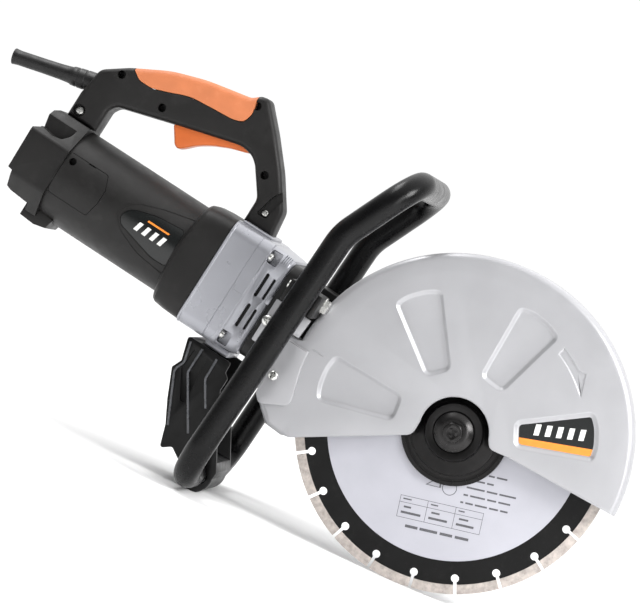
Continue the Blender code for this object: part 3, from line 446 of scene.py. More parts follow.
def loft(rings, ends=(True, True)):
    """A solid through rings of equally many points, with either end capped."""
    bm = skinned(rings)
    bm.verts.ensure_lookup_table()
    count = len(rings[0])
    if ends[0]:
        bm.faces.new([bm.verts[i] for i in range(count)])
    if ends[1]:
        last = len(rings) * count - count
        bm.faces.new([bm.verts[last + i] for i in range(count)])
    bmesh.ops.recalc_face_normals(bm, faces=bm.faces)
    return bm


def rounded(points, radii, steps=6, closed=True):
    """Points in 2D or 3D with each corner replaced by an arc of its radius, where the sides leave room."""
    points = [Vector(p) for p in points]
    if not isinstance(radii, (list, tuple)):
        radii = [radii] * len(points)
    result = []
    for i, (corner, radius) in enumerate(zip(points, radii)):
        if radius == 0 or (not closed and i in (0, len(points) - 1)):
            result.append(corner)
            continue
        behind = points[i - 1] - corner
        beyond = points[(i + 1) % len(points)] - corner
        back, ahead = behind.normalized(), beyond.normalized()
        half = back.angle(ahead) / 2
        if half > math.radians(89.5):
            result.append(corner)
            continue
        room = 0.48 * min(behind.length, beyond.length)
        radius = min(radius, room * math.tan(half))
        middle = corner + (back + ahead).normalized() * radius / math.sin(half)
        start = corner + back * radius / math.tan(half) - middle
        end = corner + ahead * radius / math.tan(half) - middle
        sweep = start.angle(end)
        for k in range(steps + 1):
            share = k / steps
            weights = (math.sin((1 - share) * sweep), math.sin(share * sweep))
            result.append(middle + (start * weights[0] + end * weights[1]) / math.sin(sweep))
    return [tuple(p) for p in result]


def shrunk(outline, by):
    """A polygon with every side moved into it by the same amount."""
    points = [Vector(p) for p in outline]
    area = sum(a.x * b.y - b.x * a.y for a, b in zip(points, points[1:] + points[:1]))
    turn = 1 if area > 0 else -1
    result = []
    for i, corner in enumerate(points):
        back = (corner - points[i - 1]).normalized()
        ahead = (points[(i + 1) % len(points)] - corner).normalized()
        inward = (Vector((-back.y, back.x)) + Vector((-ahead.y, ahead.x))) * turn
        result.append(tuple(corner + inward * by / (1 + back.dot(ahead))))
    return result


def leveled(outline, levels, ends=(True, True)):
    """A solid through copies of an (x, z) outline, each shrunk by an inset and set at its own Y."""
    rings = [[Vector((p[0], y, p[1])) for p in shrunk(outline, inset)] for inset, y in levels]
    return loft(rings, ends)


def pillow(outline, flat, crown, radius, steps=5):
    """An outline swept from its flat end to its crown end, where the rim is rounded by radius."""
    way = 1 if crown > flat else -1
    levels = [(0, flat)]
    for k in range(steps + 1):
        angle = math.pi / 2 * k / steps
        levels.append((radius * (1 - math.cos(angle)), crown - way * radius * (1 - math.sin(angle))))
    return leveled(outline, levels)


def double_pillow(outline, low, high, radius, steps=5):
    """An outline swept between two ends, with both rims rounded."""
    levels = []
    for k in range(steps + 1):
        angle = math.pi / 2 * k / steps
        levels.append((radius * (1 - math.sin(angle)), low + radius * (1 - math.cos(angle))))
    levels += [(inset, low + high - along) for inset, along in reversed(levels)]
    return leveled(outline, levels)


def round_box(half_y, half_z, radius, along):
    """A rounded rectangle across the motor's axis, as a ring at one place along it."""
    corners = [(-half_y, -half_z), (half_y, -half_z), (half_y, half_z), (-half_y, half_z)]
    return [Vector((along, y, z)) for y, z in rounded(corners, radius, 8)]


def swept_tube(path, radius, sides):
    """A round tube along a closed path in space, whose rings never twist."""
    points = [Vector(p) for p in path]
    count = len(points)
    normal = Vector((1, 0, 0))
    rings = []
    for i in range(count):
        along = (points[(i + 1) % count] - points[i - 1]).normalized()
        normal = (normal - along * normal.dot(along)).normalized()
        side = along.cross(normal)
        rings.append([points[i] + normal * radius * x + side * radius * y for x, y in circle(1, sides)])
    shift = min(range(sides), key=lambda k: (rings[0][0] - rings[-1][k]).length)
    rings[-1] = rings[-1][shift:] + rings[-1][:shift]
    return skinned(rings, True)


def cross_screw(name, radius, deep, axis, centre, face, way, nodes=()):
    """A domed screw head with a cross recess, standing out of face against way."""
    profile = [(face, 0), (face, radius), (face - way * deep * 0.4, radius)]
    for k in range(1, 6):
        angle = math.pi / 2 * k / 5
        height = deep * (0.4 + 0.6 * math.sin(angle))
        profile.append((face - way * height, radius * (0.3 + 0.7 * math.cos(angle))))
    profile.append((profile[-1][0], 0))
    head = turned(profile, axis, centre, 28)
    half, reach, floor = radius * 0.14, radius * 0.55, face - way * deep * 0.35
    low, high = sorted((floor, face - way * deep * 2))
    cosine, sine = math.cos(CROSS_TURN), math.sin(CROSS_TURN)
    for along, across in ((reach, half), (half, reach)):
        outline = [(-along, -across), (along, -across), (along, across), (-along, across)]
        spun = [(centre[0] + x * cosine - y * sine, centre[1] + x * sine + y * cosine) for x, y in outline]
        head = cut(head, prism(spun, low, high, axis))
    place(head, name, "zinc", nodes)


def hex_head(across_flats, low, high, profile, axis="Y", centre=(0, 0), phase=0):
    """A hexagon with its corners turned off by a profile."""
    corners = circle(across_flats / math.sqrt(3), 6, phase)
    outline = [(centre[0] + x, centre[1] + y) for x, y in corners]
    return common(prism(outline, low, high, axis), turned(profile, axis, centre))


# ---- motor


def square_ring(half_y, half_z, along, power):
    """A ring between a circle, at power 2, and a rectangle with round corners, at higher powers."""
    points = []
    for y, z in circle(1, FINE, math.pi / FINE):
        stretch = (abs(y) ** power + abs(z) ** power) ** (-1 / power)
        points.append(Vector((along, half_y * y * stretch, half_z * z * stretch)))
    return points


BRUSH_OUTLINE = [(-453.6, -20), (-453.6, 23.5), (-411, 23.5), (-404.5, 10), (-404.5, -4), (-409, -20)]
BADGE_OUTLINE = [(-379, 0), (-374, 9), (-350, 16.5), (-318.5, 19.3), (-317.2, -19), (-333.5, -19.5)]
BADGE_OUTLINE += [(-360, -12), (-375.5, -8)]
BADGE_RADII = [8, 14, 60, 4, 3, 30, 40, 12]
POCKET_OUTLINE = [(-385.5, 0.5), (-376, 17), (-347, 27), (-312, 35), (-314, -29), (-348, -25)]
POCKET_OUTLINE += [(-376, -13)]


def barrel_patch(outline, side, inner_r, outer_r):
    """An outline through the barrel's side, as a curved plate between two radii."""
    start = min(p[0] for p in outline) - 3
    end = max(p[0] for p in outline) + 3
    profile = [(start, inner_r), (start, outer_r), (end, outer_r), (end, inner_r)]
    return common(prism(outline, *span(side, 30, 62)), turned(profile, "X", count=FINE))


def motor_housing():
    rings = []
    for along, half_y, half_z, power in (
        (SEAM, BARREL_R - 0.3, BARREL_R - 0.3, 2), (SEAM + 0.3, BARREL_R, BARREL_R, 2),
        (-380, BARREL_R, BARREL_R, 2), (-317.5, BARREL_R, BARREL_R, 2),
        (-316.8, 48.1, 48.3, 2.1), (-314.6, 50.2, 52.4, 3.2), (-313, 50.9, 53.6, 4), (-310, 51.4, 54.7, 4.8),
        (-300, 51.8, 55.6, 5.6), (-282, 52, 56, 6.6), (-281.3, 51.4, 55.4, 6.6),
    ):
        rings.append(square_ring(half_y, half_z, along, power))
    body = loft(rings)
    lid = rounded(BRUSH_OUTLINE, 3, 3)
    for side, word in SIDES:
        body = cut(body, barrel_patch(shrunk(lid, -0.45), side, 46, 60))
        body = cut(body, cylinder(3.9, *span(side, 36, 62), "Y", BRUSH_SCREW, 24))
        cover = barrel_patch(lid, side, 45, BARREL_R + 0.15)
        hole = cylinder(3.7, *span(side, 40, 62), "Y", BRUSH_SCREW, 24)
        inner, outer = span(side, 40, 60)
        notch = block((-433, inner, 22.6), (-425, outer, 26))
        place(cut(cover, hole, notch), f"brush_cover_skin_{word}", "black_plastic", (f"brush_cover_{word}",))
    pocket = rounded(BADGE_OUTLINE, BADGE_RADII, 5)
    body = cut(body, barrel_patch(shrunk(pocket, -0.5), -1, 46.6, 60))
    place(body, "motor_skin", "black_plastic", ("motor_housing",), angle=26)
    place(barrel_patch(pocket, -1, 46, BADGE_R), "badge_plate", "glossy_black", ("motor_badge",))
    badge_surround()
    badge_marks()


def badge_surround():
    """The raised line that runs round the badge, a little way off it, and a thinner one at its rim."""
    wide = rounded(POCKET_OUTLINE, [14, 30, 60, 3, 3, 60, 30], 6)
    rim = rounded(BADGE_OUTLINE, BADGE_RADII, 5)
    lines = []
    for outline, width, radius in ((wide, 1.1, 48.45), (shrunk(rim, -1.5), 1, 48.3)):
        loop = cut(prism(outline, -62, -30), prism(shrunk(outline, width), -64, -28))
        ring = turned([(-400, 46), (-400, radius), (-316, radius), (-316, 46)], "X", count=FINE)
        lines.append(common(loop, ring))
    place(together(*lines), "badge_surround", "black_plastic")


def slanted_bar(start, width, height, lean):
    """A small parallelogram from its lower left corner."""
    x, z = start
    return [(x, z), (x + width, z), (x + width + lean, z + height), (x + lean, z + height)]


def badge_marks():
    """Plain hatch bars and one thin stripe, in place of any lettering."""
    bars = [slanted_bar((-362 + 9 * k, -5.5), 4.2, 9, 2.5) for k in range(4)]
    place(together(*[barrel_patch(bar, -1, 46, PRINT_R) for bar in bars]), "badge_bars", "print_white")
    stripe = slanted_bar((-354, 7.5), 24, 1.8, 0.8)
    place(barrel_patch(stripe, -1, 46, PRINT_R), "badge_stripe", "print_orange")


def rear_cover():
    side = [(-498, -21), (-498.8, 24), (-492.5, 28), (-495, 41), (-494, 47), (-489, 50.3)]
    side += [(SEAM - 0.3, 50.3), (SEAM - 0.3, -49), (-466, -49), (-466, -42), (-487, -40)]
    side += [(-492, -38), (-493, -22)]
    end = rounded([(-24, 50.3), (-46.8, 22), (-46.8, -24), (-26, -49.5)], 7, 6, closed=False)
    end += [(-y, z) for y, z in reversed(end)]
    body = common(prism(side, -60, 60), prism(end, -520, -440, "X"))
    valley = [(-505, 31), (-478, 26.5), (-469, 28), (-463.5, 35), (-461, 60), (-505, 60)]
    valley = rounded(valley, [0, 6, 6, 9, 0, 0], 5)
    for end_side in (-1, 1):
        body = cut(body, prism(valley, *span(end_side, 30.5, 60)))
    soften(body, 1.6, 3, lambda edge: any(v.co.x < SEAM - 2 for v in edge.verts))
    lip = [(-469.5, -41), (-469.5, -55.5), (-453, -56.8), (-441, -54), (-438.5, -44), (-455, -40)]
    lip = cut(prism(lip, -22, 22), cylinder(BARREL_R + 0.1, SEAM - 0.3, -400, "X", count=FINE))
    place(together(body, soften(lip, 0.8, 2)), "rear_cap", "black_plastic", ("rear_cover",))
    seam = turned([(SEAM - 0.6, 44), (SEAM - 0.6, 47.7), (SEAM + 0.3, 47.7), (SEAM + 0.3, 44)], "X", count=FINE)
    place(seam, "rear_seam", "black_casting")


# ---- gear housing


def gear_housing():
    rings = []
    for half_y, half_z, radius, along in (
        (51.4, 55.4, 12.6, -281), (52.4, 56.4, 13.3, -280.3), (52.4, 56.4, 13.3, -278.6),
        (52, 56, 13, -277.9), (52, 56, 13, -251.4), (51.6, 55.6, 12.8, -251.1),
        (51.6, 55.6, 12.8, -250.6), (52, 56, 13, -250.3), (52, 56, 13, -238.4),
        (51.3, 55.3, 12.8, -237.4), (49, 53, 12, -217), (48.2, 52.2, 12, -214.4),
        (46.5, 50.5, 12, -213),
    ):
        rings.append(round_box(half_y, half_z, radius, along))
    body = loft(rings)
    body = cut(body, loft([round_box(46, 33.5, 4, -290), round_box(46, 33.5, 4, -219)]))
    for side in (-1, 1):
        for up in (-1, 1):
            inner, outer = span(side, 41, 60)
            low, high = span(up, 37.5, 51.5)
            body = cut(body, block((-237, inner, low), (-225.8, outer, high), 2, 3))
            low, high = span(up, 4, 29.5)
            for x, half, trim in ((-228, 1.7, 0), (-220, 1.3, 1.5)):
                slot = [(x - half, low + trim), (x + half, low + trim), (x + half, high - trim)]
                slot = rounded(slot + [(x - half, high - trim)], half * 0.95, 4)
                body = cut(body, prism(slot, *span(side, 40, 60)))
    soften(body, 0.5, 2, lambda edge: all(v.co.x > -236 for v in edge.verts), 40)
    body = cut(body, corner_vents())
    place(body, "gear_housing_skin", "silver_casting", ("gear_housing",), angle=28)
    # painted shade: a plain black lining just inside the housing's walls, seen through the side slots as the shade
    # within them
    dark = loft([round_box(45.2, 33, 4, -280), round_box(45.2, 33, 4, -219.5)])
    place(dark, "housing_shade_lining", "black_casting")
    place(block((-248, -30, -62), (-222, 30, -55), 1.2, 3), "housing_foot", "silver_casting")
    place(block((-279, -30, 55), (-246, 30, 58.6), 1.4, 3), "housing_ledge", "silver_casting")
    housing_marks()
    for number, (side, up) in enumerate(((-1, -1), (-1, 1), (1, -1), (1, 1)), 1):
        spot = (side * HOUSING_SCREW[0], up * HOUSING_SCREW[1])
        screw = f"housing_screw_{number}"
        cross_screw(f"{screw}_head", 4.6, 4.4, "X", spot, -236.9, -1, (screw,))


def corner_vents():
    """Cutters for the fine slots round the housing's two upper front corners."""
    cutters = []
    for side in (-1, 1):
        for k in range(5):
            x = -223.6 + 2 * k
            bend = arc(18, 14, 76, 7) + arc(10.9, 76, 14, 7)
            cutters.append(prism([(side * (37.2 + y), 41 + z) for y, z in bend], x, x + 1, "X"))
    return together(*cutters)


def housing_marks():
    """Small cast features on the housing's sides: an index corner and a lug."""
    marks = []
    for side in (-1, 1):
        low, high = span(side, 50, 52.3)
        marks.append(block((-249.8, low, -1.6), (-237.6, high, -0.8), 0.15))
        marks.append(block((-249.8, low, -1.6), (-249, high, 4), 0.15))
        low, high = span(side, 46, 50.6)
        marks.append(block((-216.4, low, 3.6), (-212.2, high, 12.8), 1))
    place(together(*marks), "housing_cast_marks", "silver_casting")


# ---- gear case, guard fixings


def gear_case():
    flange = ((49.2, -212.7), (50, -211.9), (50, -200), (48.6, -197), (44, -194))
    body = loft([round_box(half, half, 12, along) for half, along in flange])
    arm = rounded([(-8, -24), (41.5, -24), (41.5, 24), (-8, 24)], 7, 5)
    body = joined(body, prism(arm, -200, -30, "X"), cylinder(44, -13.7, 42, count=FINE))
    body = cut(body, cylinder(17.9, -20, 4, count=48), cylinder(4.3, 30, 50, "Z", SPINDLE_LOCK, 24))
    body = cut(body, cylinder(38, -0.8, 60, count=64))
    place(soften(body, 0.9, 2, angle=38), "gear_case_skin", "black_casting", ("gear_case",))
    ribs = [block((-192, 41, z - 1.5), (-46, 43.2, z + 1.5), 0.6) for z in (-14, 0, 14)]
    place(together(*ribs), "gear_case_ribs", "black_casting")
    cover = [(42.3, 0), (42.3, 43), (48.4, 43), (49, 42.6), (51.7, 40.2), (52, 39.4), (52, 22.4)]
    cover += [(52.4, 21.4), (55.2, 19.6), (56, 18.6), (56, 0)]
    place(turned(cover, count=FINE), "gear_cover_skin", "black_casting", ("gear_case_cover",))
    profile = [(51.6, 0), (51.6, 4.2), (53.6, 4.2), (54.6, 3.2), (54.6, 0)]
    for number, spot in enumerate(circle(33, 4, math.radians(45)), 1):
        place(turned(profile, "Y", spot, 24), f"cover_screw_mark_{number}", "zinc")


def guard_fixings():
    outline = [(-177, -11), (-155, -11), (-152.5, -28), (-143, -60), (-146, -66), (-169, -78)]
    outline = rounded(outline + [(-177, -70)], [1, 1, 30, 8, 5, 5, 4], 6)
    plate = pillow(outline, GUARD_NEAR - 0.2, -60.4, 1.4, 4)
    place(plate, "neck_plate_skin", "silver_paint", ("guard_neck_plate",))
    cross_screw("guard_screw_head", 4.6, 2.6, "Y", (-171, -48), -60.3, 1, ("guard_screw",))
    outline = [(-208, -31), (-181.8, -31), (-181.8, -6), (-170.5, -6), (-169.5, 14), (-208, 14)]
    place(soften(prism(outline, -55.5, -50.5), 0.8), "guard_bracket_skin", "silver_paint", ("guard_bracket",))
    cross_screw("bracket_bolt_head", 5.6, 4, "Y", (-204, -8), -55.8, 1, ("bracket_bolt",))


# ---- guard


def guard_ring(inset, opened, y):
    """The guard's side outline at one depth: the rim arc, the neck, the lower edge and the hub recess."""
    radius = GUARD_R - inset
    right = math.degrees(math.asin((15.7 - opened) / radius))
    left = 180 + math.degrees(math.asin((8 - inset) / radius))
    points = arc(radius, right, left, 121)
    drop = Vector((0.565, -0.825)) * opened
    corners = [points[-1], (-181 + inset, -8 - inset), (-181 + inset, -64)]
    corners += [(-168 + inset * 0.7, -79 + inset * 0.7), (-154 + inset * 0.5, -91 + inset)]
    corners += [(-136, -92 + inset), (-128 + drop.x, -89.5 + drop.y), (-31.5 + drop.x, -23.3 + drop.y)]
    recess = arc(RECESS_R - opened, 196, 22, 41)
    corners.append(recess[0])
    points += rounded(corners, [0, 1.5, 4, 3, 3, 5, 4, 10, 0], 6, closed=False)[1:-1]
    points += recess
    corners = [recess[-1], (36, 5 - opened), (57, 8.2 - opened), points[0]]
    points += rounded(corners, 14, 6, closed=False)[1:-1]
    return [Vector((x, y, z)) for x, z in points]


def window_outline(degrees):
    """A pressed window: a wedge between two radii, wider at its outer end."""
    way, side = radial(math.radians(degrees))
    corners = []
    for reach, half in ((55.5, -13.4), (131, -24.2), (135.5, -9), (135.5, 9), (131, 24.2), (55.5, 13.4)):
        corners.append(tuple(way * reach + side * half))
    return rounded(corners, [8.5, 7.5, 40, 40, 7.5, 8.5], 6)


def arrow_outline():
    """A curved half arrow along the rim, which shows the way the blade turns."""
    outer = arc(131, 70.8, 59.5, 9)
    inner = arc(121, 49, 70, 13)
    return outer + [(75, 114), (83, 90.5)] + inner


def pressed(outline, depth, slope):
    """A shallow pan behind an outline in the guard's near wall."""
    levels = [(0, 0), (0.5, 0.06), (1.2, 0.35), (slope * 0.75, depth * 0.82), (slope, depth * 0.97)]
    levels = [(inset, GUARD_NEAR + deep) for inset, deep in levels + [(slope + 0.8, depth)]]
    return leveled(outline, levels, (False, True))


def guard_shell():
    steps = []
    for k in range(8):
        angle = math.pi / 2 * k / 7
        steps.append((6.5 * (1 - math.cos(angle)), -50.8 - 6.5 * math.sin(angle)))
    steps = [(20, GUARD_NEAR), (17, GUARD_NEAR + 0.05)] + list(reversed(steps)) + [(0, GUARD_FAR)]
    lips = [-1, -0.7, -0.35, 0]
    lips += [0] * (len(steps) - len(lips))
    outer = loft([guard_ring(inset, lip, y) for (inset, y), lip in zip(steps, lips)])
    inside = [(21, -56), (9.5, -55.5), (4.2, -54.8), (2, -50.8), (2, -16)]
    inner = loft([guard_ring(inset, 22, y) for inset, y in inside])
    body = cut(outer, inner, cylinder(22, -30, 0, count=64))
    windows = [window_outline(degrees) for degrees in WINDOW_AT]
    pans = [pressed(outline, WINDOW_DEPTH, 4.3) for outline in windows]
    for outline in windows:
        body = cut(body, prism(outline, -64, -52))
    arrow = arrow_outline()
    body = cut(body, prism(arrow, -64, -52))
    pans.append(pressed(arrow, 1.5, 1.7))
    place(together(body, *pans), "guard_skin", "silver_paint", ("guard_shell",), angle=30)
    crease = block((-152.5, -58.7, -7.3), (-141, -57.6, -6.3), 0.4)
    place(crease, "guard_crease", "silver_paint")
    sticker(windows[3])


def sticker(outline):
    """The black panel in the right window, with an orange strip and plain bars in place of lettering."""
    y = GUARD_NEAR + WINDOW_DEPTH - 0.08
    panel = shrunk(outline, 5.2)
    place(prism(panel, y, y + 0.2), "guard_sticker", "glossy_black")
    way, side = radial(math.radians(WINDOW_AT[3]))

    def spot(reach, across):
        return tuple(way * reach + side * across)

    low = [spot(50, -40), spot(150, -40), spot(150, -14.5), spot(50, -1.2)]
    strip = common(prism(panel, y - 0.06, y + 0.1), prism(low, y - 1, y + 1))
    place(strip, "sticker_strip", "print_orange")
    bars = []
    for k in range(5):
        start = 74 + 10.4 * k
        low_edge = -0.2 - 0.9 * k
        corners = [spot(start, low_edge), spot(start + 5, low_edge - 0.2)]
        corners += [spot(start + 7.6, low_edge + 10), spot(start + 2.6, low_edge + 10.2)]
        bars.append(prism(corners, y - 0.06, y + 0.1))
    place(together(*bars), "sticker_bars", "print_white")


# ---- blade and hub


def blade():
    pitch = 2 * math.pi / SLOTS
    half_slot = SLOT_W / 2
    neck = math.asin(half_slot / KEYHOLE_R)
    rim_x = math.sqrt(SEGMENT_R**2 - half_slot**2)
    outline = []
    for slot in range(SLOTS):
        middle = SLOT_PHASE + slot * pitch
        out, side = radial(middle)
        outline.append(tuple(out * rim_x - side * half_slot))
        for angle in np.linspace(-neck, -2 * math.pi + neck, 19):
            reach = KEYHOLE_AT + KEYHOLE_R * math.cos(angle)
            outline.append(tuple(out * reach + side * KEYHOLE_R * math.sin(angle)))
        outline.append(tuple(out * rim_x + side * half_slot))
        for share in np.linspace(0, 1, 9)[1:-1]:
            angle = middle + pitch * share
            outline.append((SEGMENT_R * math.cos(angle), SEGMENT_R * math.sin(angle)))
    core = prism(outline, BLADE_Y - CORE_HALF, BLADE_Y + CORE_HALF)
    core = cut(core, cylinder(11.1, -50, -20, count=48))
    place(core, "blade_core", "blade_steel", ("blade",), "blade_set")
    margin = math.degrees(half_slot / BLADE_R)
    segments = []
    for slot in range(SLOTS):
        start = math.degrees(SLOT_PHASE + slot * pitch) + margin
        end = start + 360 / SLOTS - 2 * margin
        ring = arc(BLADE_R, start, end, 12) + arc(SEGMENT_R - 0.2, end, start, 12)
        segment = prism(ring, BLADE_Y - SEGMENT_HALF, BLADE_Y + SEGMENT_HALF)
        segments.append(soften(segment, 0.25, 1, angle=50))
    place(together(*segments), "blade_segments", "segment", body="blade_set")
    for side, word in ((-1, "near"), (1, "far")):
        low, high = span(side, 1, 1.16)
        disc = cylinder(LABEL_R, BLADE_Y + low, BLADE_Y + high, count=128)
        disc = cut(disc, cylinder(12, -50, -20, count=32))
        place(disc, f"blade_label_{word}", "label", body="blade_set")
    blade_print()


def blade_print():
    """A plain ruled table and rows of short bars, where a blade carries its data."""
    along, up = radial(math.radians(20.5))
    face = BLADE_Y - 1.2
    low, high = face - 0.03, face + 0.06
    parts = []

    def bar(x, z, width, height):
        """A bar from its top left corner, in the print's own directions."""
        corner = Vector((-11.1, -77.6)) + along * x - up * z
        wide, deep = along * width, up * height
        parts.append(prism([corner, corner + wide, corner + wide - deep, corner - deep], low, high))

    for z in (0, 6.2, 20.4):
        bar(0, z, 80, 0.45)
    for x in (0, 26.4, 53.2, 79.6):
        bar(x, 0, 0.45, 20.6)
    for column in range(3):
        bar(3 + 26.6 * column, 2.3, 8 - column, 1.3)
        bar(5 + 26.6 * column, 9.4, 7 + column, 1.8)
        bar(3.2 + 26.6 * column, 14.6, 19 - column, 2.2)
    for start, width in ((10, 12), (24, 17), (43.5, 12), (58, 13)):
        bar(start, 26.5, width, 2.6)
    for row, pieces in enumerate(((18, 8, 14), (20, 9), (24, 14, 22), (6, 20, 12, 16), (4, 10, 16, 12, 10))):
        start = 62 - 1.5 * row
        for width in pieces:
            bar(start, -36 + 7.4 * row, width * 0.72, 1.7)
            start += width * 0.72 + 2
    inside = prism([(4.6, -55.8), (15.3, -51.9), (11.5, -43.6)], face - 1, face + 1)
    parts.append(cut(prism([(3, -57), (17, -52), (12, -41)], low, high), inside))
    parts.append(turned([(low, 6.3), (low, 7), (high, 7), (high, 6.3)], "Y", (24, -47.5), 40))
    place(together(*parts), "blade_print", "print_grey", body="blade_set")


def hub():
    face = BLADE_Y + 1.55
    profile = [(face, 8.3), (face, FLANGE_R - 0.5), (face + 0.5, FLANGE_R), (face + 5.5, FLANGE_R)]
    profile += [(face + 6, FLANGE_R - 0.5), (face + 8, 14), (-12, 14), (-12, 8.3)]
    place(turned(profile, count=FINE), "inner_flange_skin", "hub_dark", ("inner_flange",), "blade_set")
    face = BLADE_Y - 1.55
    profile = [(face, 8.3), (face, FLANGE_R - 0.4), (face - 0.4, FLANGE_R), (-42.4, FLANGE_R)]
    profile += [(-43, FLANGE_R - 0.5), (-43.6, 47), (-43.2, 46.6), (-43.3, 45.2), (-43.9, 44.8)]
    profile += [(-44.5, 41.6), (-46.4, 41.2), (-47, 40.4), (-47.6, 38.6), (-50.5, 29.7), (-51.5, 28.2)]
    profile += [(-57.3, 27), (-58, 26.3), (-58, 20.4), (-57.6, 19.6), (-56.6, 19), (-56.6, 8.3)]
    place(turned(profile, count=120), "outer_flange_skin", "hub_dark", ("outer_flange",), "blade_set")
    ticks = []
    for k in range(24):
        way, side = radial(math.radians(15 * k))
        start, end, half = way * 45.2, way * 49.8, side * 0.35
        ticks.append(prism([start - half, end - half, end + half, start + half], -43.75, -43))
    place(together(*ticks), "flange_ticks", "hub_dark", body="blade_set")
    dome = [(-56.9, 5.6), (-56.9, 18.2), (-57.5, 18.6), (-58.3, 18.4)]
    for k in range(1, 8):
        share = k / 7
        dome.append((-58.3 - 3.9 * math.sin(share * math.pi / 2), 18.4 - 7.4 * share))
    dome.append((-62.2, 5.6))
    place(turned(dome, count=FINE), "washer_dome", "gunmetal", ("blade_washer",), "blade_set")
    profile = [(-69, 0), (-69, 8.3), (-67.4, 10.2), (-60, 10.2), (-60, 0)]
    head = hex_head(17, -69, -62.5, profile, phase=math.radians(10))
    head = cut(head, cylinder(5.6, -70, -68.5, count=48))
    for spot in circle(3.4, 3, math.radians(30)):
        head = joined(head, cylinder(0.9, -68.8, -68, "Y", spot, 12))
    place(soften(head, 0.25, 2, angle=40), "bolt_head", "gunmetal", ("blade_bolt",), "blade_set")


# ---- hoop, clamps and stand


def hoop():
    corners = []
    for side, order in ((-1, (BAR_TOP, LEG_BEND, BAR_LOW)), (1, (BAR_LOW, LEG_BEND, BAR_TOP))):
        corners += [(x, side * LEG_Y, z) for x, z in order]
    path = rounded(corners, [BEND_R, LEG_BEND_R, BEND_R] * 2, 12)
    place(swept_tube(evened(path, 9), TUBE_R, 40), "hoop_tube", "black_tube", ("hoop_handle",), angle=80)


def evened(path, step):
    """A closed path with extra points along its long straight runs."""
    points = [Vector(p) for p in path]
    result = []
    for first, second in zip(points, points[1:] + points[:1]):
        count = max(1, round((second - first).length / step))
        result += [first.lerp(second, k / count) for k in range(count)]
    return result


def clamps():
    lean = math.atan2(LEG_BEND[0] - BAR_LOW[0], LEG_BEND[1] - BAR_LOW[1])
    share = (CLAMP_Z - BAR_LOW[1]) / (LEG_BEND[1] - BAR_LOW[1])
    leg_x = BAR_LOW[0] + share * (LEG_BEND[0] - BAR_LOW[0])
    for side, word in SIDES:
        low, high = span(side, 50.3, 96)
        body = block((-200, low, 18), (-166, high, 41))
        cradle = cylinder(TUBE_R + GAP, -30, 30, "Z", (0, 0), 64)
        bmesh.ops.rotate(cradle, verts=cradle.verts, matrix=Matrix.Rotation(lean, 3, "Y"))
        bmesh.ops.translate(cradle, verts=cradle.verts, vec=(leg_x, side * LEG_Y, CLAMP_Z))
        body = soften(cut(body, cradle), 1.2, 3)
        place(body, f"clamp_{word}_skin", "black_casting", (f"hoop_clamp_{word}",))
        spot = (side * 64.5, 33)
        profile = [(-165.7, 0), (-165.7, 7.6), (-161.6, 7.6), (-160.4, 6.2), (-160.4, 0)]
        head = hex_head(13, -165.7, -160.4, profile, "X", spot)
        washer = turned([(-166, 0), (-166, 8), (-165.2, 8), (-165.2, 0)], "X", spot)
        shank = turned([(-205, 0), (-205, 4), (-199, 4), (-199, 0)], "X", spot)
        bolt = f"clamp_bolt_{word}"
        place(together(head, washer, shank), f"{bolt}_head", "zinc", (bolt,))


def stand():
    outline = [(-263, -62.4), (-256, -86), (-260.5, -96), (-247.5, -124.5), (-236, -145.5), (-228.6, -167.5)]
    outline += [(-218.8, -160), (-203, -169.5), (-180, -172), (-170, -166), (-169.5, -158), (-192, -121)]
    outline += [(-209, -90), (-209, -77), (-214, -73), (-214.5, -62.4)]
    body = prism(rounded(outline, 2.5, 3), -39.2, 39.2)
    space = [(-250, -58), (-248, -92), (-212, -150), (-150, -150), (-150, -100), (-200, -58)]
    window = rounded([(-251, -70), (-252, -92), (-230, -130), (-236, -70)], 3, 4)
    body = cut(body, prism(space, -35, 35), cylinder(TUBE_R + GAP, -60, 60, "Y", BAR_LOW, 64))
    for side in (-1, 1):
        body = cut(body, prism(window, *span(side, 36, 60)))
    soften(body, 1, 2, angle=38)
    lines = [[(-244.6, -66), (-244.7, -92), (-212.8, -141)], [(-227.6, -66.5), (-227, -88.5), (-211.5, -112)]]
    lines.append([(-258, -66), (-252.6, -86), (-257, -96.5), (-233.5, -145)])
    place(body, "stand_skin", "gloss_plastic", ("stand_bracket",))
    # the ribs get the lighter grey that paints their highlight
    place(together(*[rib(line, side) for side in (-1, 1) for line in lines]), "stand_ribs", "highlit_rib_plastic")
    foot()


def foot():
    """A rubber sleeve round the crossbar, cut flat by the floor."""
    bore = TUBE_R + GAP
    profile = [(-38, bore), (-38, 17), (-37, 18), (37, 18), (38, 17), (38, bore)]
    below = []
    for x, drop in ((-230, 0), (-150, 0), (-150, -60), (-230, -60)):
        below.append((x, (-HUB.z / MM - x * FORWARD.z) / UPWARD.z + drop))
    sleeve = cut(turned(profile, "Y", BAR_LOW, FINE), prism(below, -60, 60))
    place(sleeve, "foot_skin", "rubber", ("foot_pad",))


def rib(line, side):
    """A thin raised bead along a line on the stand's side."""
    points = [Vector(p) for p in rounded(line, 8, 5, closed=False)]
    near, far = [], []
    for i, point in enumerate(points):
        way = (points[min(i + 1, len(points) - 1)] - points[max(i - 1, 0)]).normalized()
        across = Vector((-way.y, way.x)) * 1.1
        near.append(point + across)
        far.append(point - across)
    return pillow(near + far[::-1], side * 38.6, side * 40.4, 0.8, 3)


# ---- D handle


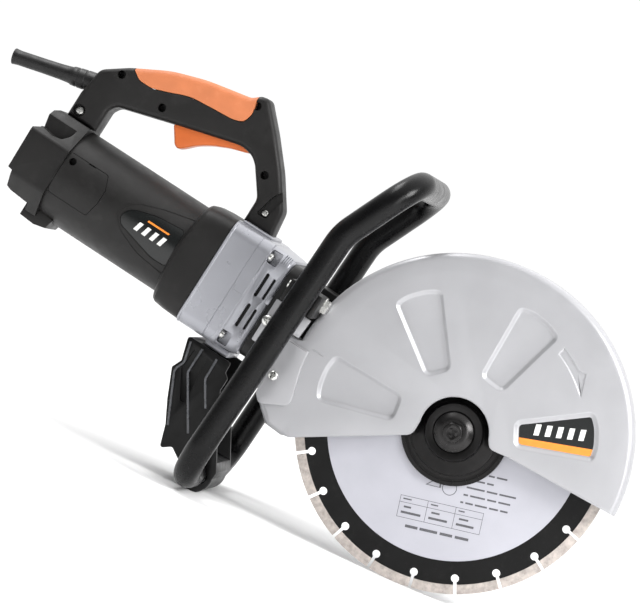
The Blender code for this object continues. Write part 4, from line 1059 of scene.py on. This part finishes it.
HANDLE_OUTER = [(-484.6, 50.4), (-484.6, 75), (-480.3, 104), (-456, 121), (-420, 140), (-385, 151)]
HANDLE_OUTER += [(-340, 159.5), (-332, 166), (-324, 168), (-301, 144), (-276, 115), (-254, 84)]
HANDLE_OUTER += [(-250.5, 57.5)]
OUTER_RADII = [0, 30, 12, 60, 120, 160, 10, 8, 9, 200, 120, 16, 0]
HANDLE_INNER = [(-282.5, 57.5), (-282.5, 81), (-302, 107), (-309, 113), (-322.5, 116), (-392, 97.5)]
HANDLE_INNER += [(-447, 82), (-451.5, 74), (-451.5, 50.4)]
INNER_RADII = [0, 14, 20, 20, 30, 200, 12, 8, 0]
GRIP_LOW = [(-450.5, 121.5), (-441, 115.5), (-427, 115.5), (-411, 121), (-391, 129), (-367, 131)]
GRIP_LOW += [(-344, 132.5), (-333, 136), (-330, 147), (-333.5, 160)]


def grip_zone(half, grow=0):
    """Everything above the grip's lower line, as wide as asked."""
    low = rounded(GRIP_LOW, [0, 12, 20, 40, 60, 100, 30, 9, 12, 0], 6, closed=False)
    low = [(x + (grow if x > -340 else 0), z - grow) for x, z in low]
    low[0] = (low[0][0] - grow, low[0][1])
    return prism(low + [(-335 + grow, 190), (-456 - grow, 190)], -half, half)


def handle():
    outline = rounded(HANDLE_OUTER + HANDLE_INNER, OUTER_RADII + INNER_RADII, 6)
    slot = [(-395, 70), (-395, 116), (-311, 128), (-308.5, 118), (-312, 100), (-340, 70)]
    wells = [((x, z), 4.2, 13) for x, z in ((-459, 111), (-408, 105), (-330, 156), (-288, 104))]
    wells.append((HANDLE_SCREW, 6.4, 6))
    socket = rounded([(-275.5, 69), (-264.5, 69.5), (-259.5, 93), (-262, 104), (-270, 91)], 2, 4)
    for side, word in SIDES:
        body = pillow(outline, side * 0.12, side * GRIP_HALF, 5, 6)
        body = cut(body, prism(slot, -TRIGGER_HALF - 0.5, TRIGGER_HALF + 0.5))
        body = cut(body, grip_zone(30, 0.7), along_cord([(-12, 0), (-12, 10.3), (60, 10.3), (60, 0)]))
        for spot, radius, deep in wells:
            body = cut(body, cylinder(radius, *span(side, GRIP_HALF - deep, 30), "Y", spot, 32))
        body = cut(body, prism(socket, *span(side, GRIP_HALF - 5, 30)))
        if side > 0:
            body = cut(body, cylinder(6.4, 3.5, 30, "Y", LOCK_OFF, 32))
        place(body, f"handle_half_{word}", "black_plastic", (f"handle_shell_{word}",), angle=32)
        cross_screw(f"leg_screw_{word}", 3.6, 2, "Y", LEG_SCREW, side * (GRIP_HALF - 5.2), -side)
    cross_screw("handle_screw_head", 4.6, 2.4, "Y", HANDLE_SCREW, -GRIP_HALF + 5.8, 1, ("handle_screw",))
    grip = common(double_pillow(outline, -GRIP_HALF - 0.15, GRIP_HALF + 0.15, 6, 7), grip_zone(40))
    place(grip, "grip_skin", "orange_grip", ("grip_pad",), angle=40)
    trigger()
    profile = [(9, 0), (9, 6), (17.6, 6), (18.8, 5.2), (19.4, 3.6), (19.4, 0)]
    button = turned(profile, "Y", LOCK_OFF, 48)
    place(button, "lock_off_cap", "orange_rubber", ("lock_off_button",), "lock_off")
    profile = [(33.5, 0), (33.5, 3.9), (49.5, 3.9), (49.5, 7), (53, 7), (54.2, 5.6), (54.2, 0)]
    button = turned(profile, "Z", SPINDLE_LOCK, 48)
    place(button, "spindle_lock_cap", "orange_rubber", ("spindle_lock_button",), "spindle_lock")


def trigger():
    face = [(-391, 97), (-380.5, 82), (-376, 79.3), (-370.7, 83), (-361.4, 92.2), (-349.3, 100)]
    face += [(-333.7, 107.2), (-319, 111.6), (-312.8, 114), (-311.8, 118.5), (-316, 122.6)]
    outline = rounded(face + [(-328, 120.5), (-388, 104.5)], [3, 6, 4, 30, 40, 60, 60, 6, 3, 3, 3, 3, 3], 5)
    body = double_pillow(outline, -TRIGGER_HALF, TRIGGER_HALF, 2.2, 5)
    place(body, "trigger_skin", "orange_rubber", ("trigger",), "trigger", angle=40)


CORD_FROM = Vector((-474, 0, 91))
CORD_TO = Vector((-564, 0, 68.5))


def along_cord(profile):
    """A profile of (distance, radius) turned on the cord's way out of the handle."""
    body = turned(profile, "X", count=48)
    way = (CORD_TO - CORD_FROM).normalized()
    turn = Vector((1, 0, 0)).rotation_difference(way).to_matrix()
    bmesh.ops.rotate(body, verts=body.verts, matrix=turn)
    bmesh.ops.translate(body, verts=body.verts, vec=CORD_FROM)
    return body


def cord_guard():
    profile = [(0, 5), (0, 10), (15, 10), (15.6, 9.5), (16.6, 9.5), (17.2, 9.9), (23, 9.8)]
    profile += [(23.6, 9.3), (24.6, 9.3), (25.2, 9.6), (30, 9.3), (31.5, 8.4), (36, 8), (44, 7.6)]
    profile += [(60, 7.35), (86, 7.3), (90, 7.7), (91.8, 8), (92.4, 7.7), (92.5, 7), (92.3, 5.2)]
    place(along_cord(profile), "cord_boot", "rubber", ("cord_guard",))


# ---- carried-over nodes, stage, lights, camera


def dress_inner_nodes():
    """The CAD pieces that stay as they are get the material of their slot."""
    slots = {part["node"]: part["material_slot"] for part in frame["record"]["subparts"]}
    for name, node in frame["nodes"].items():
        if not node.hide_render:
            node.data.materials.clear()
            node.data.materials.append(LOOKS[slots[name]])


def area_light(name, place_m, aim, size, power):
    data = bpy.data.lights.new(name, "AREA")
    data.shape = "RECTANGLE"
    data.size, data.size_y = size
    data.energy = power
    made = bpy.data.objects.new(name, data)
    made.location = place_m
    made.rotation_euler = (Vector(aim) - Vector(place_m)).to_track_quat("-Z", "Y").to_euler()
    bpy.context.scene.collection.objects.link(made)


def stage():
    floor = bpy.data.meshes.new("floor")
    corners = [(-FLOOR_HALF, -FLOOR_HALF, 0), (FLOOR_HALF, -FLOOR_HALF, 0), (FLOOR_HALF, FLOOR_HALF, 0)]
    floor.from_pydata(corners + [(-FLOOR_HALF, FLOOR_HALF, 0)], [], [(0, 1, 2, 3)])
    made = bpy.data.objects.new("floor", floor)
    made.location.z = -FLOOR_GAP
    bpy.context.scene.collection.objects.link(made)
    floor.materials.append(Nodes("floor_white", (0.93, 0.93, 0.93), 0.9).mottle(0.006, 900).material)
    bpy.context.scene.world = studio_world()
    bpy.context.scene.view_settings.view_transform = "Standard"
    area_light("key", (0.88, -0.52, 0.75), (0.18, 0, 0.2), (0.45, 0.4), 11.5)
    area_light("side", (1.35, -1.6, 0.55), (0.15, 0, 0.2), (0.5, 0.9), 11.5)
    area_light("top", (-0.75, -0.1, 1.5), (-0.1, 0, 0.25), (1, 0.35), 11)


def studio_world():
    """White behind the saw, brighter overhead and dimmer on the near side."""
    world = bpy.data.worlds.new("studio")
    world.use_nodes = True
    tree = world.node_tree
    way = tree.nodes.new("ShaderNodeTexCoord").outputs["Generated"]
    parts = add_node(tree, "SeparateXYZ", {"Vector": way})
    shares = []
    for part, low, high, dim, bright in (("Y", -0.3, 0.7, 0.16, 1.02), ("Z", 0.35, 1, 0, 1.3)):
        inputs = {"From Min": low, "From Max": high, "To Min": dim, "To Max": bright}
        step = add_node(tree, "MapRange", {"Value": parts.outputs[part], **inputs})
        step.interpolation_type = "SMOOTHSTEP"
        shares.append(step.outputs["Result"])
    total = add_node(tree, "Math", dict(enumerate(shares))).outputs["Value"]
    fill(tree, tree.nodes["Background"], {"Color": (1, 1, 1, 1), "Strength": total})
    return world


def camera():
    data = bpy.data.cameras.new("camera")
    data.sensor_width = 36
    data.lens = 152.9
    data.clip_end = 100
    made = bpy.data.objects.new("camera", data)
    made.location = (0.37735, -2.58182, 0.3212)
    made.rotation_euler = (1.52537, -0.40398, 0.15650)
    bpy.context.scene.collection.objects.link(made)
    bpy.context.scene.camera = made


def main():
    make_looks()
    motor_housing()
    rear_cover()
    gear_housing()
    gear_case()
    guard_fixings()
    guard_shell()
    blade()
    hub()
    hoop()
    clamps()
    stand()
    handle()
    cord_guard()
    dress_inner_nodes()
    stage()
    camera()


main()
